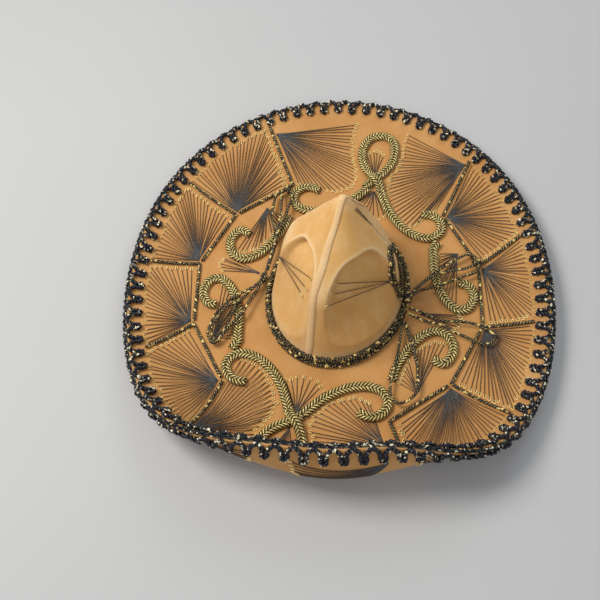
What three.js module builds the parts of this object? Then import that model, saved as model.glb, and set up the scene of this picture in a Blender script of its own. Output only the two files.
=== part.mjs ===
// A charro sombrero: boat-shaped velvet brim, peaked crown with four dents, laced edge, scroll braids,
// stitched thread fans, hatband cords with loose loops, and a chin cord with a sliding bead.
// Millimetres, +Z up, the wearer looks along -Y. While the pieces are made, the origin is the centre of the
// crown's base, on the top face of the brim's flat part.
import * as THREE from "three";

// ---- driving dimensions ----
const AROUND = 40; // stations round the crown and brim
const CROWN_HALF_WIDTH = 81;
const CROWN_HALF_LENGTH = 98;
const CROWN_HEIGHT = 176;
const PEAK_SET_BACK = 22; // the peak stands this far behind the base's centre
const WALL_TAPER = 0.34;
const ROOF_SLOPE = 1.795;
const BACK_ROOF_SLOPE = 1.38; // the back falls steeply from the peak to a lower shoulder
const SHOULDER_ROUNDING = 0.12;
const PEAK_FLATNESS = 0.65; // cosine of the roof's slope
const DENT_DEPTH = 20;
const DENT_HALF_ANGLE = 42;
const DENT_LEVEL = 0.5; // share of the crown's height
const DENT_REACH_UP = 0.27;
const DENT_REACH_DOWN = 0.45;
const SEAM_ANGLES = [265, 85]; // front and back seams, degrees from +X
const DENT_FROM_SEAM = 42;

const BRIM_RADIUS = 283; // of the flat blank, from the crown's centre
const BRIM_OVAL = 25; // the blank is longer than it is wide by four times this
const LIP_CENTRE = 286; // direction of the rolled front lip, degrees from +X
const LIP_START = 0.55; // share of the brim's run where it starts to turn up
const LIP_EASE = 0.7;
const FRONT_LIP = { angle: 126, left: 44, right: 36 }; // angle at the edge and its spread
const BACK_LIP = { angle: 7, spread: 54 };
const SIDE_LIP = 20;
const LIP_SPREAD_POWER = 2.8;

const COVER = 1.2;
const BOARD = 2.6;
const GLUE_GAP = 0.4;
const SHELL_STEPS = { cover: [0, 1.1], shell: [1.6, 3.6], lining: [5.1, 6] }; // insets from the outside
const SWEATBAND = { steps: [4.4, 5.6], low: -4 };
const SWEATBAND_TOP = 0.12; // share of the crown's height
const LINING_START = 0.18;

const HATBAND_CORD = 3.4;
const SIDE_KNOTS = { // centre and half sizes: one beside the hatband, one on top of it
  side_knot_left: { at: [-93.8, -6, 8], half: [4.6, 8, 6] },
  side_knot_right: { at: [86, 8, 21.5], half: [5, 8, 6] },
};
const LACING_RADIUS = 2;
const LACING_REACH = 20; // how far the lacing's lobes reach in from the edge
const WIRE_RADIUS = 0.9;
const BRAID = { halfWidth: 6, halfHeight: 3 };
const PANEL_CORD = 1.3;
const LOOP_CORD = 1.6;
const CHIN_CORD = 2.1;
const THREAD_SHEET = 0.7;
const DENT_THREADS = { // shares of the height and of the turn from the seam to the side
  front: { near: [0.52, 0.62], from: 0.2, gather: 0.5, to: 0.86 },
  back: { near: [0.78, 0.88], from: 0.34, gather: 0.57, to: 0.96 },
};
const CLEAR = 0.6; // trim floats this far over the cover
const PANEL_CLEAR = 0.9; // straight cords need more on the rolled lip
const ROLLED_LIP_ROOM = 1; // more on the rolled lip, where flat facets cut corners

// Panels on each side of the hat: cords from an inner ring to the rim, in equal steps.
const INNER_RING = 180;
const PANEL_START = 126; // degrees from +X, left run; the right run is half a turn round
const RIM_STEP = 30;
const INNER_STEP = 28;
const PANELS = 4;

// Trim outlines on the flattened brim, in one quadrant: x to the side, y to the back.
const END_SCROLL = [[9, 167], [14, 158], [28, 138], [47, 121], [67, 112], [86, 112],
  [97, 122], [98, 134], [91, 144], [80, 148], [69, 146]];
const SIDE_SCROLLS = { // the two diagonal pairs of quadrants differ a little
  alike: [[96, 98], [99, 88], [105, 68], [115, 47], [129, 29], [145, 20], [157, 25],
    [161, 38], [158, 50], [148, 58], [139, 57]],
  opposite: [[95, 95], [95, 80], [100, 58], [107, 39], [117, 24], [130, 16], [145, 20],
    [154, 36], [151, 52], [144, 57], [134, 54]],
};
const TEARDROP = [[7, 187], [18, 198], [21, 215], [21, 235], [14, 252], [0, 257],
  [-14, 252], [-21, 235], [-21, 215], [-18, 198], [-7, 187]];
const TEARDROP_LEAN = { back: -12, front: -4 }; // the teardrops stand to one side of the hat's centre line
const GAP_FAN_EDGE = [[34, 262], [34, 240], [32, 222], [28, 203], [24, 186], [24, 172], [28, 157], [37, 143]];
const LEAN_FROM = 180; // trim further out than this leans with the teardrop

// Loose cord loops: knot end, bowed strand, far end. The other strand runs nearly straight between the ends.
const LOOPS = {
  cord_loop_left: { near: [-101, -22], bow: [[-122, -48], [-134, -82]], far: [-127, -110] },
  cord_loop_left_upper: { near: [-96, 10], bow: [[-105, 55], [-121, 108]], far: [-110, 137] },
  cord_loop_right_upper: { near: [92, 24], bow: [[105, 57], [130, 90]], far: [153, 96] },
  cord_loop_right_middle: { near: [96, 0], bow: [[112, -11], [149, -16]], far: [198, -9] },
  cord_loop_right_front: { near: [93, -25], bow: [[113, -58], [126, -92]], far: [112, -124] },
};
const LOOP_LIFT = 9;
const LOOP_TURN = 3.2; // radius of the turn at a loop's two ends

const CHIN_PIVOT = { x: 58.6, y: -45, z: 4 };
const CHIN_TILT = 27; // tucked up against the back of the crown's inside
const CHIN_PATH = [[53, -2], [55, 8], [60, 26], [61, 46], [52, 68], [30, 86], [9, 94], [3, 99], [2.5, 105], [2.5, 126]];
const BEAD = { at: 106.5, length: 10, outer: 7, inner: 5.6 };

const COLOURS = {
  velvet: 0xcc9658,
  crownVelvet: 0xd9a862,
  board: 0xc8b795,
  steel: 0x8c8f92,
  blackCord: 0x17161c,
  goldBraid: 0x8f7a3c,
  thread: 0x3a3334,
  lining: 0xe8dcc2,
  leather: 0x4a3020,
  wood: 0x2a1c12,
};

// ---- general helpers ----
const degrees = THREE.MathUtils.degToRad;
const vec = (x, y, z) => new THREE.Vector3(x, y, z);

function material(colour, roughness = 0.9, metalness = 0) {
  return new THREE.MeshStandardMaterial({ color: colour, roughness, metalness });
}

// A closed geometry from a vertex list and triangles, turned so that its faces point outwards.
// Triangles that collapse where points meet, as at a peak, are dropped.
function closedGeometry(points, triangles) {
  const first = new Map();
  const same = points.map((p, i) => {
    const key = p.toArray().map((value) => value.toFixed(4)).join();
    if (!first.has(key)) first.set(key, i);
    return first.get(key);
  });
  const kept = triangles
    .map((triangle) => triangle.map((i) => same[i]))
    .filter(([a, b, c]) => a !== b && b !== c && c !== a);
  let volume = 0;
  for (const [a, b, c] of kept) {
    volume += points[a].dot(points[b].clone().cross(points[c]));
  }
  const index = kept.flatMap(([a, b, c]) => (volume < 0 ? [a, c, b] : [a, b, c]));
  const geometry = new THREE.BufferGeometry();
  geometry.setAttribute("position", new THREE.Float32BufferAttribute(points.flatMap((p) => p.toArray()), 3));
  geometry.setIndex(index);
  geometry.computeVertexNormals();
  return geometry;
}

function quad(triangles, a, b, c, d) {
  triangles.push([a, b, c], [a, c, d]);
}

// Skins rings of equal size. An open run is capped with a fan to each end ring's centre.
function skinRings(rings, closed = false) {
  const size = rings[0].length;
  const points = rings.flat();
  const triangles = [];
  const runs = closed ? rings.length : rings.length - 1;
  for (let i = 0; i < runs; i++) {
    const next = (i + 1) % rings.length;
    for (let j = 0; j < size; j++) {
      const k = (j + 1) % size;
      quad(triangles, i * size + j, i * size + k, next * size + k, next * size + j);
    }
  }
  if (!closed) {
    [0, rings.length - 1].forEach((i, end) => {
      const centre = rings[i].reduce((sum, p) => sum.add(p), vec(0, 0, 0)).divideScalar(size);
      points.push(centre);
      const tip = points.length - 1;
      for (let j = 0; j < size; j++) {
        const k = (j + 1) % size;
        triangles.push(end ? [tip, i * size + j, i * size + k] : [tip, i * size + k, i * size + j]);
      }
    });
  }
  return closedGeometry(points, triangles);
}

// A thin closed sheet between a top and a bottom grid of points, open-ended or wrapped along its rows.
function sheet(top, bottom, wrapped = false) {
  const rows = top.length;
  const columns = top[0].length;
  const points = [...top.flat(), ...bottom.flat()];
  const low = rows * columns;
  const triangles = [];
  const at = (i, j) => (i % rows) * columns + j;
  for (let i = 0; i < (wrapped ? rows : rows - 1); i++) {
    for (let j = 0; j < columns - 1; j++) {
      quad(triangles, at(i, j), at(i + 1, j), at(i + 1, j + 1), at(i, j + 1));
      quad(triangles, low + at(i, j), low + at(i, j + 1), low + at(i + 1, j + 1), low + at(i + 1, j));
    }
    quad(triangles, at(i, 0), low + at(i, 0), low + at(i + 1, 0), at(i + 1, 0));
    const last = columns - 1;
    quad(triangles, at(i, last), at(i + 1, last), low + at(i + 1, last), low + at(i, last));
  }
  if (!wrapped) {
    for (let j = 0; j < columns - 1; j++) {
      const last = rows - 1;
      quad(triangles, at(0, j), at(0, j + 1), low + at(0, j + 1), low + at(0, j));
      quad(triangles, at(last, j), low + at(last, j), low + at(last, j + 1), at(last, j + 1));
    }
  }
  return closedGeometry(points, triangles);
}

// A tube of elliptical section along points; `ups` gives the direction of its height at each point.
function tube(path, ups, halfWidth, halfHeight, { closed = false, sides = 6 } = {}) {
  const count = path.length;
  const rings = path.map((p, i) => {
    const before = path[closed ? (i + count - 1) % count : Math.max(i - 1, 0)];
    const after = path[closed ? (i + 1) % count : Math.min(i + 1, count - 1)];
    const along = after.clone().sub(before).normalize();
    const side = along.clone().cross(ups[i]).normalize();
    const up = side.clone().cross(along).normalize();
    return Array.from({ length: sides }, (_, j) => {
      const angle = (2 * Math.PI * (j + 0.5)) / sides;
      return p.clone()
        .addScaledVector(side, halfWidth * Math.cos(angle))
        .addScaledVector(up, halfHeight * Math.sin(angle));
    });
  });
  return skinRings(rings, closed);
}

// Even points along a smooth curve through flat control points.
function smoothPath(control, count, closed = false) {
  const curve = new THREE.CatmullRomCurve3(control.map(([x, y]) => vec(x, y, 0)), closed, "centripetal");
  const points = curve.getSpacedPoints(count);
  return (closed ? points.slice(0, -1) : points).map((p) => [p.x, p.y]);
}

const mirrored = (outline, sx, sy) => outline.map(([x, y]) => [x * sx, y * sy]);

// Shifts the outer part of an outline sideways, with the teardrop beside it.
const leaning = (outline) => outline.map(([x, y]) => {
  const lean = y > 0 ? TEARDROP_LEAN.back : TEARDROP_LEAN.front;
  return [Math.abs(y) > LEAN_FROM ? x + lean : x, y];
});

// ---- the brim's surface ----
// Distance from the origin to an ellipse in direction `angle`.
function ellipseRadius(a, b, angle) {
  return (a * b) / Math.hypot(b * Math.cos(angle), a * Math.sin(angle));
}

function angleBetween(a, b) {
  return THREE.MathUtils.euclideanModulo(a - b + Math.PI, 2 * Math.PI) - Math.PI;
}

const brimHole = (angle) => ellipseRadius(CROWN_HALF_WIDTH - 1.4, CROWN_HALF_LENGTH - 1.4, angle);

const brimEdge = (angle) => BRIM_RADIUS - BRIM_OVAL * Math.cos(2 * (angle - degrees(LIP_CENTRE - 270)));

// The slope at the brim's very edge: strong at the front lip, slight at the sides and back.
function edgeSlope(angle) {
  const front = angleBetween(angle, degrees(LIP_CENTRE));
  const back = angleBetween(angle, degrees(LIP_CENTRE + 180));
  const frontSpread = degrees(front > 0 ? FRONT_LIP.right : FRONT_LIP.left);
  const frontShare = Math.exp(-(Math.abs(front / frontSpread) ** LIP_SPREAD_POWER));
  const backShare = Math.exp(-(Math.abs(back / degrees(BACK_LIP.spread)) ** 3));
  return degrees(SIDE_LIP + (FRONT_LIP.angle - SIDE_LIP) * frontShare + (BACK_LIP.angle - SIDE_LIP) * backShare);
}

const SLOPE_STEPS = 40;

// The brim's profile in one direction: distance out and height at even shares of its run.
function brimProfile(angle) {
  const start = brimHole(angle);
  const run = brimEdge(angle) - start;
  const slope = edgeSlope(angle);
  const out = [start];
  const up = [0];
  for (let i = 0; i < SLOPE_STEPS; i++) {
    const share = (i + 0.5) / SLOPE_STEPS;
    const lip = Math.max(0, (share - LIP_START) / (1 - LIP_START)) ** LIP_EASE * slope;
    out.push(out[i] + (run / SLOPE_STEPS) * Math.cos(lip));
    up.push(up[i] + (run / SLOPE_STEPS) * Math.sin(lip));
  }
  return { out, up };
}

// Brim grid: rows round the hat, columns from the hole to the edge, closer together on the lip.
const RUN_STATIONS = [0, 0.3, LIP_START, 0.65, 0.725, 0.8, 0.875, 0.9375, 1];
const GRID = Array.from({ length: AROUND }, (_, i) => {
  const angle = (2 * Math.PI * i) / AROUND;
  const { out, up } = brimProfile(angle);
  return RUN_STATIONS.map((share) => {
    const at = Math.round(share * SLOPE_STEPS);
    return vec(out[at] * Math.cos(angle), out[at] * Math.sin(angle), up[at]);
  });
});
const GRID_NORMALS = GRID.map((row, i) => row.map((_, j) => {
  const ahead = GRID[(i + 1) % AROUND][j].clone().sub(GRID[(i + AROUND - 1) % AROUND][j]);
  const outward = row[Math.min(j + 1, row.length - 1)].clone().sub(row[Math.max(j - 1, 0)]);
  return outward.cross(ahead).normalize();
}));

function shiftedGrid(lift) {
  return GRID.map((row, i) => row.map((p, j) => p.clone().addScaledVector(GRID_NORMALS[i][j], lift)));
}

// A point over the brim at flat-blank position (x, y), `lift` above the cover, with the normal there.
function onBrim(x, y, lift) {
  const angle = Math.atan2(y, x);
  const start = brimHole(angle);
  const share = THREE.MathUtils.clamp((Math.hypot(x, y) - start) / (brimEdge(angle) - start), 0, 1);
  const turn = THREE.MathUtils.euclideanModulo(angle / (2 * Math.PI), 1) * AROUND;
  const i = Math.floor(turn) % AROUND;
  const j = Math.max(0, RUN_STATIONS.findLastIndex((s, k) => s <= share && k < RUN_STATIONS.length - 1));
  const u = turn - Math.floor(turn);
  const v = (share - RUN_STATIONS[j]) / (RUN_STATIONS[j + 1] - RUN_STATIONS[j]);
  const blend = (grid) => {
    const near = grid[i][j].clone().lerp(grid[i][j + 1], v);
    const next = grid[(i + 1) % AROUND][j].clone().lerp(grid[(i + 1) % AROUND][j + 1], v);
    return near.lerp(next, u);
  };
  const normal = blend(GRID_NORMALS).normalize();
  return { point: blend(GRID).addScaledVector(normal, lift), normal };
}

function brimTube(flatPath, lift, halfWidth, halfHeight, options) {
  const places = flatPath.map(([x, y]) => onBrim(x, y, lift));
  return tube(places.map((p) => p.point), places.map((p) => p.normal), halfWidth, halfHeight, options);
}

function brimLayer(topDepth, bottomDepth) {
  return sheet(shiftedGrid(-topDepth), shiftedGrid(-bottomDepth), true);
}

// A ring that follows the brim's edge at a distance beyond it.
function edgeRing(beyond, depth, radius, sides) {
  const last = RUN_STATIONS.length - 1;
  const path = GRID.map((row, i) => {
    const outward = row[last].clone().sub(row[last - 1]).normalize();
    return row[last].clone().addScaledVector(outward, beyond).addScaledVector(GRID_NORMALS[i][last], -depth);
  });
  return tube(path, GRID_NORMALS.map((row) => row[last]), radius, radius, { closed: true, sides });
}

// ---- the crown's surface ----
function smoothMinimum(a, b, rounding) {
  const h = THREE.MathUtils.clamp(0.5 + (0.5 * (b - a)) / rounding, 0, 1);
  return THREE.MathUtils.lerp(b, a, h) - rounding * h * (1 - h);
}

function dentAt(angle, share) {
  let depth = 0;
  for (const seam of SEAM_ANGLES) {
    for (const side of [-DENT_FROM_SEAM, DENT_FROM_SEAM]) {
      const across = angleBetween(angle, degrees(seam + side)) / degrees(DENT_HALF_ANGLE);
      const reach = share > DENT_LEVEL ? DENT_REACH_UP : DENT_REACH_DOWN;
      const along = (share - DENT_LEVEL) / reach;
      depth += DENT_DEPTH * Math.max(0, 1 - across ** 2 - along ** 2) ** 1.5;
    }
  }
  return depth;
}

function crownSurface(angle, share) {
  const backShare = Math.max(0, Math.cos(angle - degrees(SEAM_ANGLES[1]))) ** 2;
  const roof = THREE.MathUtils.lerp(ROOF_SLOPE, BACK_ROOF_SLOPE, backShare) * (1 - share);
  const size = smoothMinimum(1 - WALL_TAPER * share, roof, SHOULDER_ROUNDING);
  const wall = ellipseRadius(CROWN_HALF_WIDTH, CROWN_HALF_LENGTH, angle);
  const radius = wall * size - dentAt(angle, share);
  return vec(radius * Math.cos(angle), radius * Math.sin(angle) + PEAK_SET_BACK * share, CROWN_HEIGHT * share);
}

// A point of the crown, moved in from its outer face by `inset` along the face's normal.
function crownPoint(angle, share, inset) {
  const step = 0.01;
  const around = crownSurface(angle + step, share).sub(crownSurface(angle - step, share));
  const upward = crownSurface(angle, share + step / 2).sub(crownSurface(angle, share - step / 2));
  return crownSurface(angle, share).addScaledVector(around.cross(upward).normalize(), -inset);
}

// Moves a point out until it is `clear` of the crown, level with where it was.
function overCrown(point, clear) {
  const share = Math.min(point.z / CROWN_HEIGHT, 0.98);
  const setBack = PEAK_SET_BACK * share;
  const away = Math.hypot(point.x, point.y - setBack);
  const face = crownSurface(Math.atan2(point.y - setBack, point.x), share);
  const scale = Math.max(1, (Math.hypot(face.x, face.y - setBack) + clear) / away);
  return vec(point.x * scale, setBack + (point.y - setBack) * scale, point.z);
}

// Columns from the foot to a top share, one for each station round the crown. The foot is at an exact height.
function crownColumns(shares, inset, footHeight) {
  return Array.from({ length: AROUND }, (_, i) => {
    const column = shares.map((share) => crownPoint((2 * Math.PI * i) / AROUND, share, inset));
    if (footHeight !== null) column[0].z = footHeight;
    return column;
  });
}

// A dome between two insets, from its foot to the peak, open underneath.
function crownLayer(steps, start, footHeight = null) {
  const shares = [start, ...CROWN_LEVELS.filter((share) => share > start)];
  const [outer, inner] = steps.map((inset) => {
    const tip = vec(0, PEAK_SET_BACK, CROWN_HEIGHT - inset / PEAK_FLATNESS);
    return crownColumns(shares, inset, footHeight).map((column) => [...column, tip]);
  });
  return sheet(outer, inner, true);
}

const CROWN_LEVELS = [0.12, 0.24, 0.36, 0.48, 0.58, 0.68, 0.8, 0.92];

// ---- the pieces ----
const hat = new THREE.Group();

function add(name, geometry, finish) {
  const mesh = new THREE.Mesh(geometry, finish);
  mesh.name = name;
  hat.add(mesh);
}

function addBrim() {
  const boardTop = COVER + GLUE_GAP;
  const underTop = boardTop + BOARD + GLUE_GAP;
  add("brim_top_cover", brimLayer(0, COVER), material(COLOURS.velvet));
  add("brim_board", brimLayer(boardTop, boardTop + BOARD), material(COLOURS.board));
  add("brim_under_cover", brimLayer(underTop, underTop + COVER), material(COLOURS.velvet));
  const middle = boardTop + BOARD / 2;
  add("brim_wire", edgeRing(WIRE_RADIUS + GLUE_GAP, middle, WIRE_RADIUS, 5), material(COLOURS.steel, 0.35, 1));
  const beyondWire = 2 * (WIRE_RADIUS + GLUE_GAP) + LACING_RADIUS;
  add("edge_lacing", edgeRing(beyondWire, middle, LACING_RADIUS, 6), material(COLOURS.blackCord, 0.5));
}

function addCrown() {
  const velvet = material(COLOURS.crownVelvet);
  const brimDepth = 2 * (COVER + GLUE_GAP) + BOARD;
  add("crown_cover", crownLayer(SHELL_STEPS.cover, 0, GLUE_GAP), velvet);
  add("crown_shell", crownLayer(SHELL_STEPS.shell, 0, -brimDepth), material(COLOURS.board));
  add("crown_lining", crownLayer(SHELL_STEPS.lining, LINING_START), material(COLOURS.lining));
  const [outside, inside] = SWEATBAND.steps.map((inset) => crownColumns([0, SWEATBAND_TOP], inset, SWEATBAND.low));
  add("sweatband", sheet(outside, inside, true), material(COLOURS.leather, 0.6));
}

// The seam cord climbs the front, crosses the peak and goes down the back.
function addSeamCord() {
  const shares = [0.1, 0.2, 0.32, 0.44, 0.55, 0.66, 0.77, 0.88, 0.96];
  const radius = 1.6;
  const clear = radius + 1;
  const side = (seam) => shares.map((share) => {
    const p = crownPoint(degrees(seam), share, 0);
    const outward = vec(Math.cos(degrees(seam)), Math.sin(degrees(seam)), share > 0.5 ? 0.9 : 0.1).normalize();
    return p.addScaledVector(outward, clear);
  });
  const path = [...side(SEAM_ANGLES[0]), vec(0, PEAK_SET_BACK, CROWN_HEIGHT + clear), ...side(SEAM_ANGLES[1]).reverse()];
  const across = vec(1, 0, 0);
  const ups = path.map((p, i) => {
    const along = path[Math.min(i + 1, path.length - 1)].clone().sub(path[Math.max(i - 1, 0)]);
    return across.clone().cross(along).normalize();
  });
  add("crown_seam_cord", tube(path, ups, radius, radius), material(COLOURS.crownVelvet));
}

function addHatband() {
  const ring = (height, beyond) => {
    const path = Array.from({ length: AROUND }, (_, i) => {
      const angle = (2 * Math.PI * i) / AROUND;
      const p = crownPoint(angle, height / CROWN_HEIGHT, -beyond);
      return vec(p.x, p.y, height);
    });
    return tube(path, path.map(() => vec(0, 0, 1)), HATBAND_CORD, HATBAND_CORD, { closed: true });
  };
  const beyond = HATBAND_CORD + 0.5;
  const low = HATBAND_CORD + 0.5;
  add("hatband_lower_cord", ring(low, beyond), material(COLOURS.blackCord, 0.5));
  add("hatband_upper_cord", ring(low + 2 * HATBAND_CORD + 0.4, beyond), material(COLOURS.blackCord, 0.5));
  for (const [name, { at, half }] of Object.entries(SIDE_KNOTS)) {
    const knot = new THREE.SphereGeometry(1, 10, 6);
    knot.deleteAttribute("uv");
    knot.scale(...half);
    knot.translate(...at);
    add(name, knot, material(COLOURS.blackCord, 0.5));
  }
}

const QUADRANTS = [["back_right", 1, 1], ["back_left", -1, 1], ["front_left", -1, -1], ["front_right", 1, -1]];

function addBraids() {
  const lift = BRAID.halfHeight + CLEAR;
  const finish = material(COLOURS.goldBraid, 0.45, 0.4);
  for (const [place, sx, sy] of QUADRANTS) {
    const sideScroll = sx * sy > 0 ? SIDE_SCROLLS.alike : SIDE_SCROLLS.opposite;
    for (const [kind, outline] of [["end_scroll", END_SCROLL], ["side_scroll", sideScroll]]) {
      const path = smoothPath(mirrored(outline, sx, sy), 20);
      add(kind + "_" + place, brimTube(path, lift, BRAID.halfWidth, BRAID.halfHeight), finish);
    }
  }
  for (const [place, sy] of [["back", 1], ["front", -1]]) {
    const path = smoothPath(leaning(mirrored(TEARDROP, 1, sy)), 22);
    add("teardrop_braid_" + place, brimTube(path, lift, BRAID.halfWidth, BRAID.halfHeight), finish);
  }
}

// Where panel cord number i meets the rim and the inner ring, on the run that starts at `start`.
function panelCorner(start, i) {
  const rimAngle = degrees(start + RIM_STEP * i);
  const innerAngle = degrees(start + INNER_STEP * i);
  const reach = brimEdge(rimAngle) - LACING_REACH;
  return {
    rim: [reach * Math.cos(rimAngle), reach * Math.sin(rimAngle)],
    inner: [INNER_RING * Math.cos(innerAngle), INNER_RING * Math.sin(innerAngle)],
  };
}

const between = (a, b, t) => [a[0] + (b[0] - a[0]) * t, a[1] + (b[1] - a[1]) * t];

function straightPath(a, b, count) {
  return Array.from({ length: count + 1 }, (_, i) => between(a, b, i / count));
}

// A fan of threads as one thin sheet from its apex to the line where its stitches end.
function fanSheet(apex, edge, lift) {
  const shares = [0.12, 0.3, 0.48, 0.66, 0.84, 1];
  const grid = (height) => edge.map((end) => shares.map((share) => {
    const [x, y] = between(apex, end, share);
    return onBrim(x, y, height).point;
  }));
  return sheet(grid(lift + THREAD_SHEET), grid(lift));
}

function addPanels() {
  const cord = material(COLOURS.blackCord, 0.5);
  const thread = material(COLOURS.thread, 0.6);
  for (const [side, turn] of [["left", 0], ["right", 180]]) {
    const start = PANEL_START + turn;
    const corners = Array.from({ length: PANELS + 1 }, (_, i) => panelCorner(start, i));
    corners.forEach(({ rim, inner }, i) => {
      const path = straightPath(rim, inner, 5);
      if (i < PANELS) path.push(...straightPath(inner, corners[i + 1].inner, 5).slice(1, -1));
      path.push(...(i < PANELS ? [between(inner, corners[i + 1].inner, 0.94)] : []));
      const name = "panel_cord_" + side + "_" + (i + 1);
      add(name, brimTube(path, PANEL_CORD + PANEL_CLEAR, PANEL_CORD, PANEL_CORD, { sides: 5 }), cord);
    });
    for (let i = 1; i <= PANELS; i++) {
      add("panel_fan_" + side + "_" + i, panelFan(start, corners, i), thread);
    }
  }
}

// A panel's fan spreads from the inner corner of one cord to the neighbouring cord and the rim.
function panelFan(start, corners, i) {
  const margin = 2.2; // degrees kept clear of the cords
  const [before, here] = [corners[i - 1], corners[i]];
  const polar = (angle, radius) => [radius * Math.cos(degrees(angle)), radius * Math.sin(degrees(angle))];
  const rimFrom = start + RIM_STEP * (i - 1) + margin;
  const rimTo = start + RIM_STEP * i - margin;
  const innerFrom = start + INNER_STEP * (i - 1) + margin;
  const foot = polar(innerFrom, INNER_RING + 10);
  const rimCorner = polar(rimFrom, Math.hypot(...before.rim) - 3);
  const rimArc = [0.33, 0.67, 1].map((t) => {
    const angle = rimFrom + (rimTo - rimFrom) * t;
    return polar(angle, brimEdge(degrees(angle)) - LACING_REACH - 3);
  });
  const apex = polar(start + INNER_STEP * i - 1.5, Math.hypot(...here.inner) + 4);
  const edge = [foot, between(foot, rimCorner, 0.5), rimCorner, ...rimArc];
  return fanSheet(apex, edge, CLEAR);
}

// The fans beside the teardrops spread from a rim corner towards the teardrop and the end scroll.
function addGapFans() {
  const thread = material(COLOURS.thread, 0.6);
  const places = [
    ["back_left", PANEL_START, -1, 1],
    ["front_left", PANEL_START + RIM_STEP * PANELS, -1, -1],
    ["front_right", PANEL_START + 180, 1, -1],
    ["back_right", PANEL_START + RIM_STEP * PANELS - 180, 1, 1],
  ];
  for (const [place, angle, sx, sy] of places) {
    const towardsGap = sx * sy > 0 ? 3 : -3;
    const reach = brimEdge(degrees(angle)) - LACING_REACH - 3;
    const at = degrees(angle + towardsGap);
    const apex = [reach * Math.cos(at), reach * Math.sin(at)];
    const edge = smoothPath(leaning(mirrored(GAP_FAN_EDGE, sx, sy)), 9);
    add("gap_fan_" + place, fanSheet(apex, edge, sy < 0 ? CLEAR + ROLLED_LIP_ROOM : CLEAR), thread);
  }
}

// Threads cross each dent from beside the seam to the crown's side, as one flat sheet.
function addDentThreads() {
  const thread = material(COLOURS.thread, 0.6);
  for (const [place, sx, sy] of QUADRANTS) {
    const seam = degrees(sy > 0 ? SEAM_ANGLES[1] : SEAM_ANGLES[0]);
    const turn = angleBetween(degrees(sx > 0 ? 0 : 180), seam);
    const { near, from, gather, to } = sy > 0 ? DENT_THREADS.back : DENT_THREADS.front;
    const strip = (share, farShare, out) => [0, 0.17, 0.33, 0.5, 0.67, 0.83, 1].map((t) => {
      const start = crownPoint(seam + turn * from, share, -out);
      const end = crownPoint(seam + turn * to, farShare, -out);
      return overCrown(start.lerp(end, t), out);
    });
    const face = (out) => [strip(near[0], gather - 0.01, out), strip(near[1], gather + 0.01, out)];
    add("dent_threads_" + place, sheet(face(3.4), face(2.7)), thread);
  }
}

// A loose loop lies as a long closed ring with rounded ends: one strand bowed, the other nearly straight.
function loopOutline({ near, bow, far }) {
  const length = Math.hypot(far[0] - near[0], far[1] - near[1]);
  const axis = [(far[0] - near[0]) / length, (far[1] - near[1]) / length];
  const bowSide = Math.sign(axis[0] * (bow[0][1] - near[1]) - axis[1] * (bow[0][0] - near[0]));
  const beside = (end, along, across) => [
    end[0] + axis[0] * along - bowSide * axis[1] * across,
    end[1] + axis[1] * along + bowSide * axis[0] * across,
  ];
  return [
    near,
    beside(near, LOOP_TURN, LOOP_TURN),
    ...bow,
    beside(far, -LOOP_TURN, LOOP_TURN),
    far,
    beside(far, -LOOP_TURN, -LOOP_TURN),
    beside(near, length / 2, -LOOP_TURN),
    beside(near, LOOP_TURN, -LOOP_TURN),
  ];
}

function addCordLoops() {
  for (const [name, ends] of Object.entries(LOOPS)) {
    const path = smoothPath(loopOutline(ends), 36, true).map(([x, y]) => onBrim(x, y, LOOP_LIFT));
    const geometry = tube(path.map((p) => p.point), path.map((p) => p.normal), LOOP_CORD, LOOP_CORD,
      { closed: true, sides: 5 });
    add(name, geometry, material(COLOURS.blackCord, 0.5));
  }
}

// The chin cord's own plane passes through its pivot and leans back inside the crown.
function chinPoint(x, along, height = 0) {
  const tilt = degrees(CHIN_TILT);
  return vec(
    x,
    CHIN_PIVOT.y + along * Math.cos(tilt) - height * Math.sin(tilt),
    CHIN_PIVOT.z + along * Math.sin(tilt) + height * Math.cos(tilt),
  );
}

function addChinCord() {
  const half = smoothPath(CHIN_PATH, 22);
  const cord = material(COLOURS.blackCord, 0.5);
  const whole = [...half, ...mirrored(half, -1, 1).reverse()];
  const path = whole.map(([x, along]) => chinPoint(x, along));
  const up = chinPoint(0, 0, 1).sub(chinPoint(0, 0, 0));
  add("chin_cord", tube(path, path.map(() => up), CHIN_CORD, CHIN_CORD), cord);

  const profile = [
    [BEAD.inner, 0], [BEAD.outer - 1, 0], [BEAD.outer, BEAD.length * 0.3],
    [BEAD.outer, BEAD.length * 0.7], [BEAD.outer - 1, BEAD.length], [BEAD.inner, BEAD.length], [BEAD.inner, 0],
  ].map(([r, h]) => new THREE.Vector2(r, h));
  const bead = new THREE.LatheGeometry(profile, 16);
  bead.rotateX(degrees(CHIN_TILT));
  const at = chinPoint(0, BEAD.at);
  bead.translate(at.x, at.y, at.z);
  add("chin_bead", bead, material(COLOURS.wood, 0.4));

  for (const [name, sx] of [["chin_anchor_left", -1], ["chin_anchor_right", 1]]) {
    const anchor = new THREE.BoxGeometry(4, 5, 6);
    anchor.translate(sx * CHIN_PIVOT.x, CHIN_PIVOT.y, CHIN_PIVOT.z);
    add(name, anchor, material(COLOURS.leather, 0.6));
  }
}

addBrim();
addCrown();
addSeamCord();
addHatband();
addBraids();
addPanels();
addGapFans();
addDentThreads();
addCordLoops();
addChinCord();

// The hat's origin is the middle of its footprint, level with the flat underside it rests on.
const footprint = new THREE.Box3().setFromObject(hat, true);
const middle = footprint.getCenter(vec(0, 0, 0));
hat.position.set(-middle.x, -middle.y, -footprint.min.z);

export default hat;
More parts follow.
